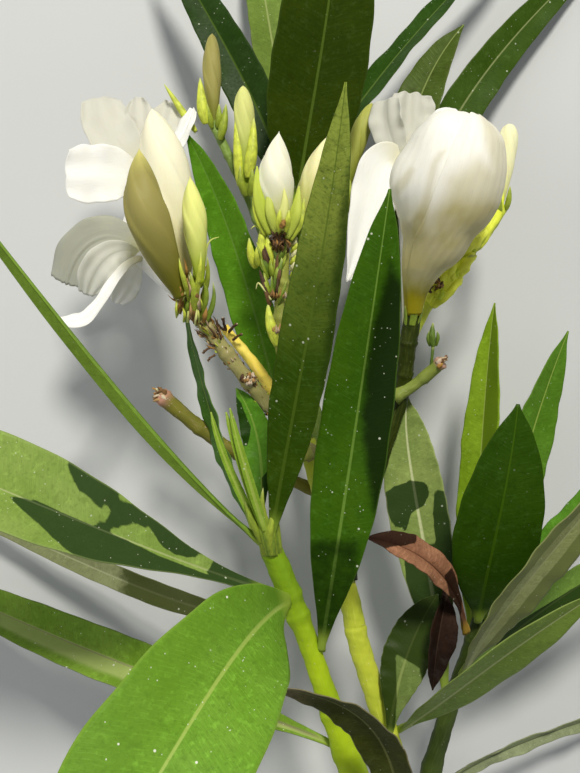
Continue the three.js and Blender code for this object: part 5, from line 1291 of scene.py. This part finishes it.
# small leaf buds at the shoot's tip
green.sweep([[266, 546, 65.5], [264, 522, 68.2], [262, 504, 69], [263, 488, 68.8]], pointed(0.95), 0.66, 0.7, rings=24)
green.sweep([[261, 543, 65.3], [254, 526, 68], [248, 511, 69], [245, 500, 69]], pointed(0.85), 0.62, 0.7, rings=24)
green.sweep([[270, 550, 65.8], [270, 532, 68], [273, 516, 68.4], [276, 504, 67.8]], pointed(0.85), 0.7, 0.7, rings=24)
for i in range(9):
    q = np.random.RandomState(810 + i)
    x = 269 + (i - 4) * 2.1
    lean = (i - 4) * 1.5 - 7
    z = 65.5 + 1.5 * math.cos((i - 4) * 0.5)
    green.sweep([[x + 3, 556, z - 2.2], [x, 540, z], [x + lean * 0.5, 526, z + 1.2], [x + lean, 508 + q.uniform(-12, 8), z + 1.6]], pointed(q.uniform(0.7, 1.0)), q.uniform(0.45, 0.66), 0.6, q.uniform(-30, 30), rings=20)
mat = leaf_material("young_leaf_3_finish", seed=61.0, **LOOK["young_leaf_1"])
ob = blade("young_leaf_3_blade", [[[265, 530, 67.6], [252, 490, 74.5], [238, 445, 77.5], [230, 408, 79.5]], 2.3, 0, 10, 16, "lance", 1], [mat], seed=61, **SHAPE["young_leaf_1"])
rides(ob, "young_leaf")

GREENS = [(0.0, (0.04, 0.1, 0.008)), (0.5, (0.2, 0.3, 0.02)), (0.8, (0.42, 0.5, 0.04)), (1.0, (0.74, 0.82, 0.08))]
BROWNS = [(0.0, (0.035, 0.016, 0.01)), (0.45, (0.2, 0.1, 0.03)), (0.75, (0.5, 0.26, 0.05)), (1.0, (0.62, 0.5, 0.36))]
PALES = [(0.0, (0.5, 0.6, 0.06)), (0.2, (0.72, 0.74, 0.24)), (0.5, (0.66, 0.6, 0.42)), (1.0, (0.6, 0.42, 0.33))]
rides(green.build("small_green_parts", [bits_material("small_green_finish", GREENS, (0.62, 0.68, 0.22), (0.75, 1.05))]), "stem")
# the knobbly stalks' colours are set brighter than their own green to offset the bloom's shadow on them, painted light
rides(knobs.build("knobbly_stalks", [bits_material("knobbly_stalk_finish", [(0.0, (0.3, 0.4, 0.01)), (0.5, (0.66, 0.8, 0.03)), (1.0, (0.95, 1.0, 0.08))], (0.9, 0.97, 0.2), (0.8, 1.05), mottle=0.15)]), "stem")
rides(brown.build("small_dry_parts", [bits_material("small_dry_finish", BROWNS, None, rough=0.7)]), "stem")
rides(pale.build("small_pale_parts", [bits_material("small_pale_finish", PALES, None, mottle=0.1, rough=0.6)]), "petal")

# ---------------------------------------------------------------- the cut face: pith, rings and bark
stem = LIMB["cut_stem"]
tn, sd, upv = stem.frames(np.linspace(0, 1, 40))
base = stem.c(np.array([0.0]))[0] - tn[0] * 0.12
rings, sides = 26, 72
q = np.linspace(0, 1, rings)[:, None]
a = np.linspace(0, 2 * np.pi, sides, endpoint=False)[None, :]
rr = stem.r[0] * q * (1 + 0.02 * np.sin(3 * a + 1) + 0.015 * np.sin(7 * a))
lift = 0.1 * np.sin(q * 46 + 0.6 * np.sin(a * 2)) * smooth(0.12, 0.3, q) - 0.35 * smooth(0.2, 0.0, q) + 0.22 * np.sin(a * 1 + 0.7) * q
g = base + sd[0] * (rr * np.cos(a))[..., None] + upv[0] * (rr * np.sin(a))[..., None] - tn[0] * lift[..., None]
back = base + tn[0] * 0.5 + sd[0] * (rr * 0.98 * np.cos(a))[..., None] + upv[0] * (rr * 0.98 * np.sin(a))[..., None]
verts, faces = np.concatenate([g[1:].reshape(-1, 3), [g[0, 0]], back[-1], [back[0, 0]]]), [list(f) for f in grid_faces(rings - 1, sides, closed=True)]
m0, m1 = (rings - 1) * sides, (rings - 1) * sides + 1
for j in range(sides):
    k = (j + 1) % sides
    e = (rings - 2) * sides
    faces += [[m0, k, j], [e + j, e + k, m1 + k, m1 + j], [m1 + sides, m1 + j, m1 + k]]
polar = np.concatenate([np.stack([np.broadcast_to(a / 6.2832, (rings - 1, sides)), np.broadcast_to(q[1:], (rings - 1, sides))], -1).reshape(-1, 2), [[0.5, 0]], np.stack([a[0] / 6.2832, np.ones(sides)], -1), [[0.5, 1.0]]])
flatxy = np.concatenate([np.stack([rr[1:] * np.cos(a), rr[1:] * np.sin(a)], -1).reshape(-1, 2), [[0, 0]], np.stack([rr[-1] * np.cos(a[0]), rr[-1] * np.sin(a[0])], -1), [[0, 0]]]) / 10
n = Nodes("cut_face_finish")
pr = n.xyz(n.uv("polar"))
xy = n.xyz(n.uv("mm"))
flat = n.combine(xy[0], xy[1], 0.0)
grain = n.noise(flat, 9.0, 4.0, 0.6)
rad_ = n.math("ADD", pr[1], n.math("MULTIPLY", n.math("SUBTRACT", grain, 0.5), 0.06))
col = n.ramp(rad_, [(0.0, (0.78, 0.72, 0.5)), (0.16, (0.7, 0.62, 0.36)), (0.2, (0.4, 0.32, 0.14)), (0.26, (0.74, 0.66, 0.38)), (0.84, (0.7, 0.64, 0.34)), (0.88, (0.3, 0.4, 0.08)), (0.95, (0.2, 0.17, 0.08)), (1.0, (0.16, 0.12, 0.07))])
col = n.mix(n.math("MULTIPLY", n.remap(n.math("SINE", n.math("MULTIPLY", rad_, 46.0)), 0.0, 1.0), 0.3), col, (0.5, 0.42, 0.2))
col = n.mix(n.math("MULTIPLY", n.remap(n.noise(n.combine(n.math("MULTIPLY", pr[0], 60.0), pr[1], 0.0), 1.0, 2.0), 0.5, 0.7), 0.25), col, (0.46, 0.36, 0.18))
n.put(n.bsdf.inputs["Base Color"], col)
n.bsdf.inputs["Roughness"].default_value = 0.8
n.put(n.bsdf.inputs["Normal"], n.bump(grain, 0.4, 0.0002))
ob = make("cut_face", verts, faces, [n.mat], uvs={"polar": polar, "mm": flatxy})
rides(ob, "wood")

# ---------------------------------------------------------------- floor, light, camera
me = bpy.data.meshes.new("floor")
me.from_pydata([(-3, -3, 0), (3, -3, 0), (3, 3, 0), (-3, 3, 0)], [], [(0, 1, 2, 3)])
floor = bpy.data.objects.new("floor", me)
scene.collection.objects.link(floor)
fm = Nodes("floor_finish")
fm.bsdf.inputs["Base Color"].default_value = (0.60, 0.615, 0.62, 1)
fm.bsdf.inputs["Roughness"].default_value = 0.8
me.materials.append(fm.mat)


def area(name, place, target, size, watts, colour):
    d = bpy.data.lights.new(name, "AREA")
    d.shape = "DISK"
    d.size = size
    d.energy = watts
    d.color = colour
    o = bpy.data.objects.new(name, d)
    o.location = place
    o.rotation_euler = (Vector(target) - Vector(place)).to_track_quat("-Z", "Y").to_euler()
    scene.collection.objects.link(o)


area("key", (0.16, 0.82, 1.08), (0, 0.02, 0.05), 0.24, 15.6, (1.0, 0.965, 0.87))
area("fill_left", (-0.9, 0.1, 0.9), (0, 0, 0.05), 0.9, 3.6, (1.0, 0.985, 0.96))
area("fill_right", (0.8, -0.6, 0.8), (0, 0, 0.05), 0.9, 1.1, (0.98, 0.985, 1.0))
world = bpy.data.worlds.new("studio")
scene.world = world
world.use_nodes = True
world.node_tree.nodes["Background"].inputs[0].default_value = (0.94, 0.97, 1.0, 1)
world.node_tree.nodes["Background"].inputs[1].default_value = 0.22

cam_d = bpy.data.cameras.new("camera")
cam_d.sensor_fit = "AUTO"
cam_d.sensor_width = 36.0
cam_d.lens = 18.0 / (SHEET[1] / 2 * MM_PER_UNIT / EYE)
cam_d.clip_start = 0.01
cam = bpy.data.objects.new("camera", cam_d)
cam.location = (SHIFT[0] / 1000, SHIFT[1] / 1000, (EYE + MID) / 1000)
cam.rotation_euler = (0, 0, 0)
scene.collection.objects.link(cam)
scene.camera = cam
scene.view_settings.view_transform = "Standard"
scene.view_settings.look = "None"

bpy.context.view_layer.update()
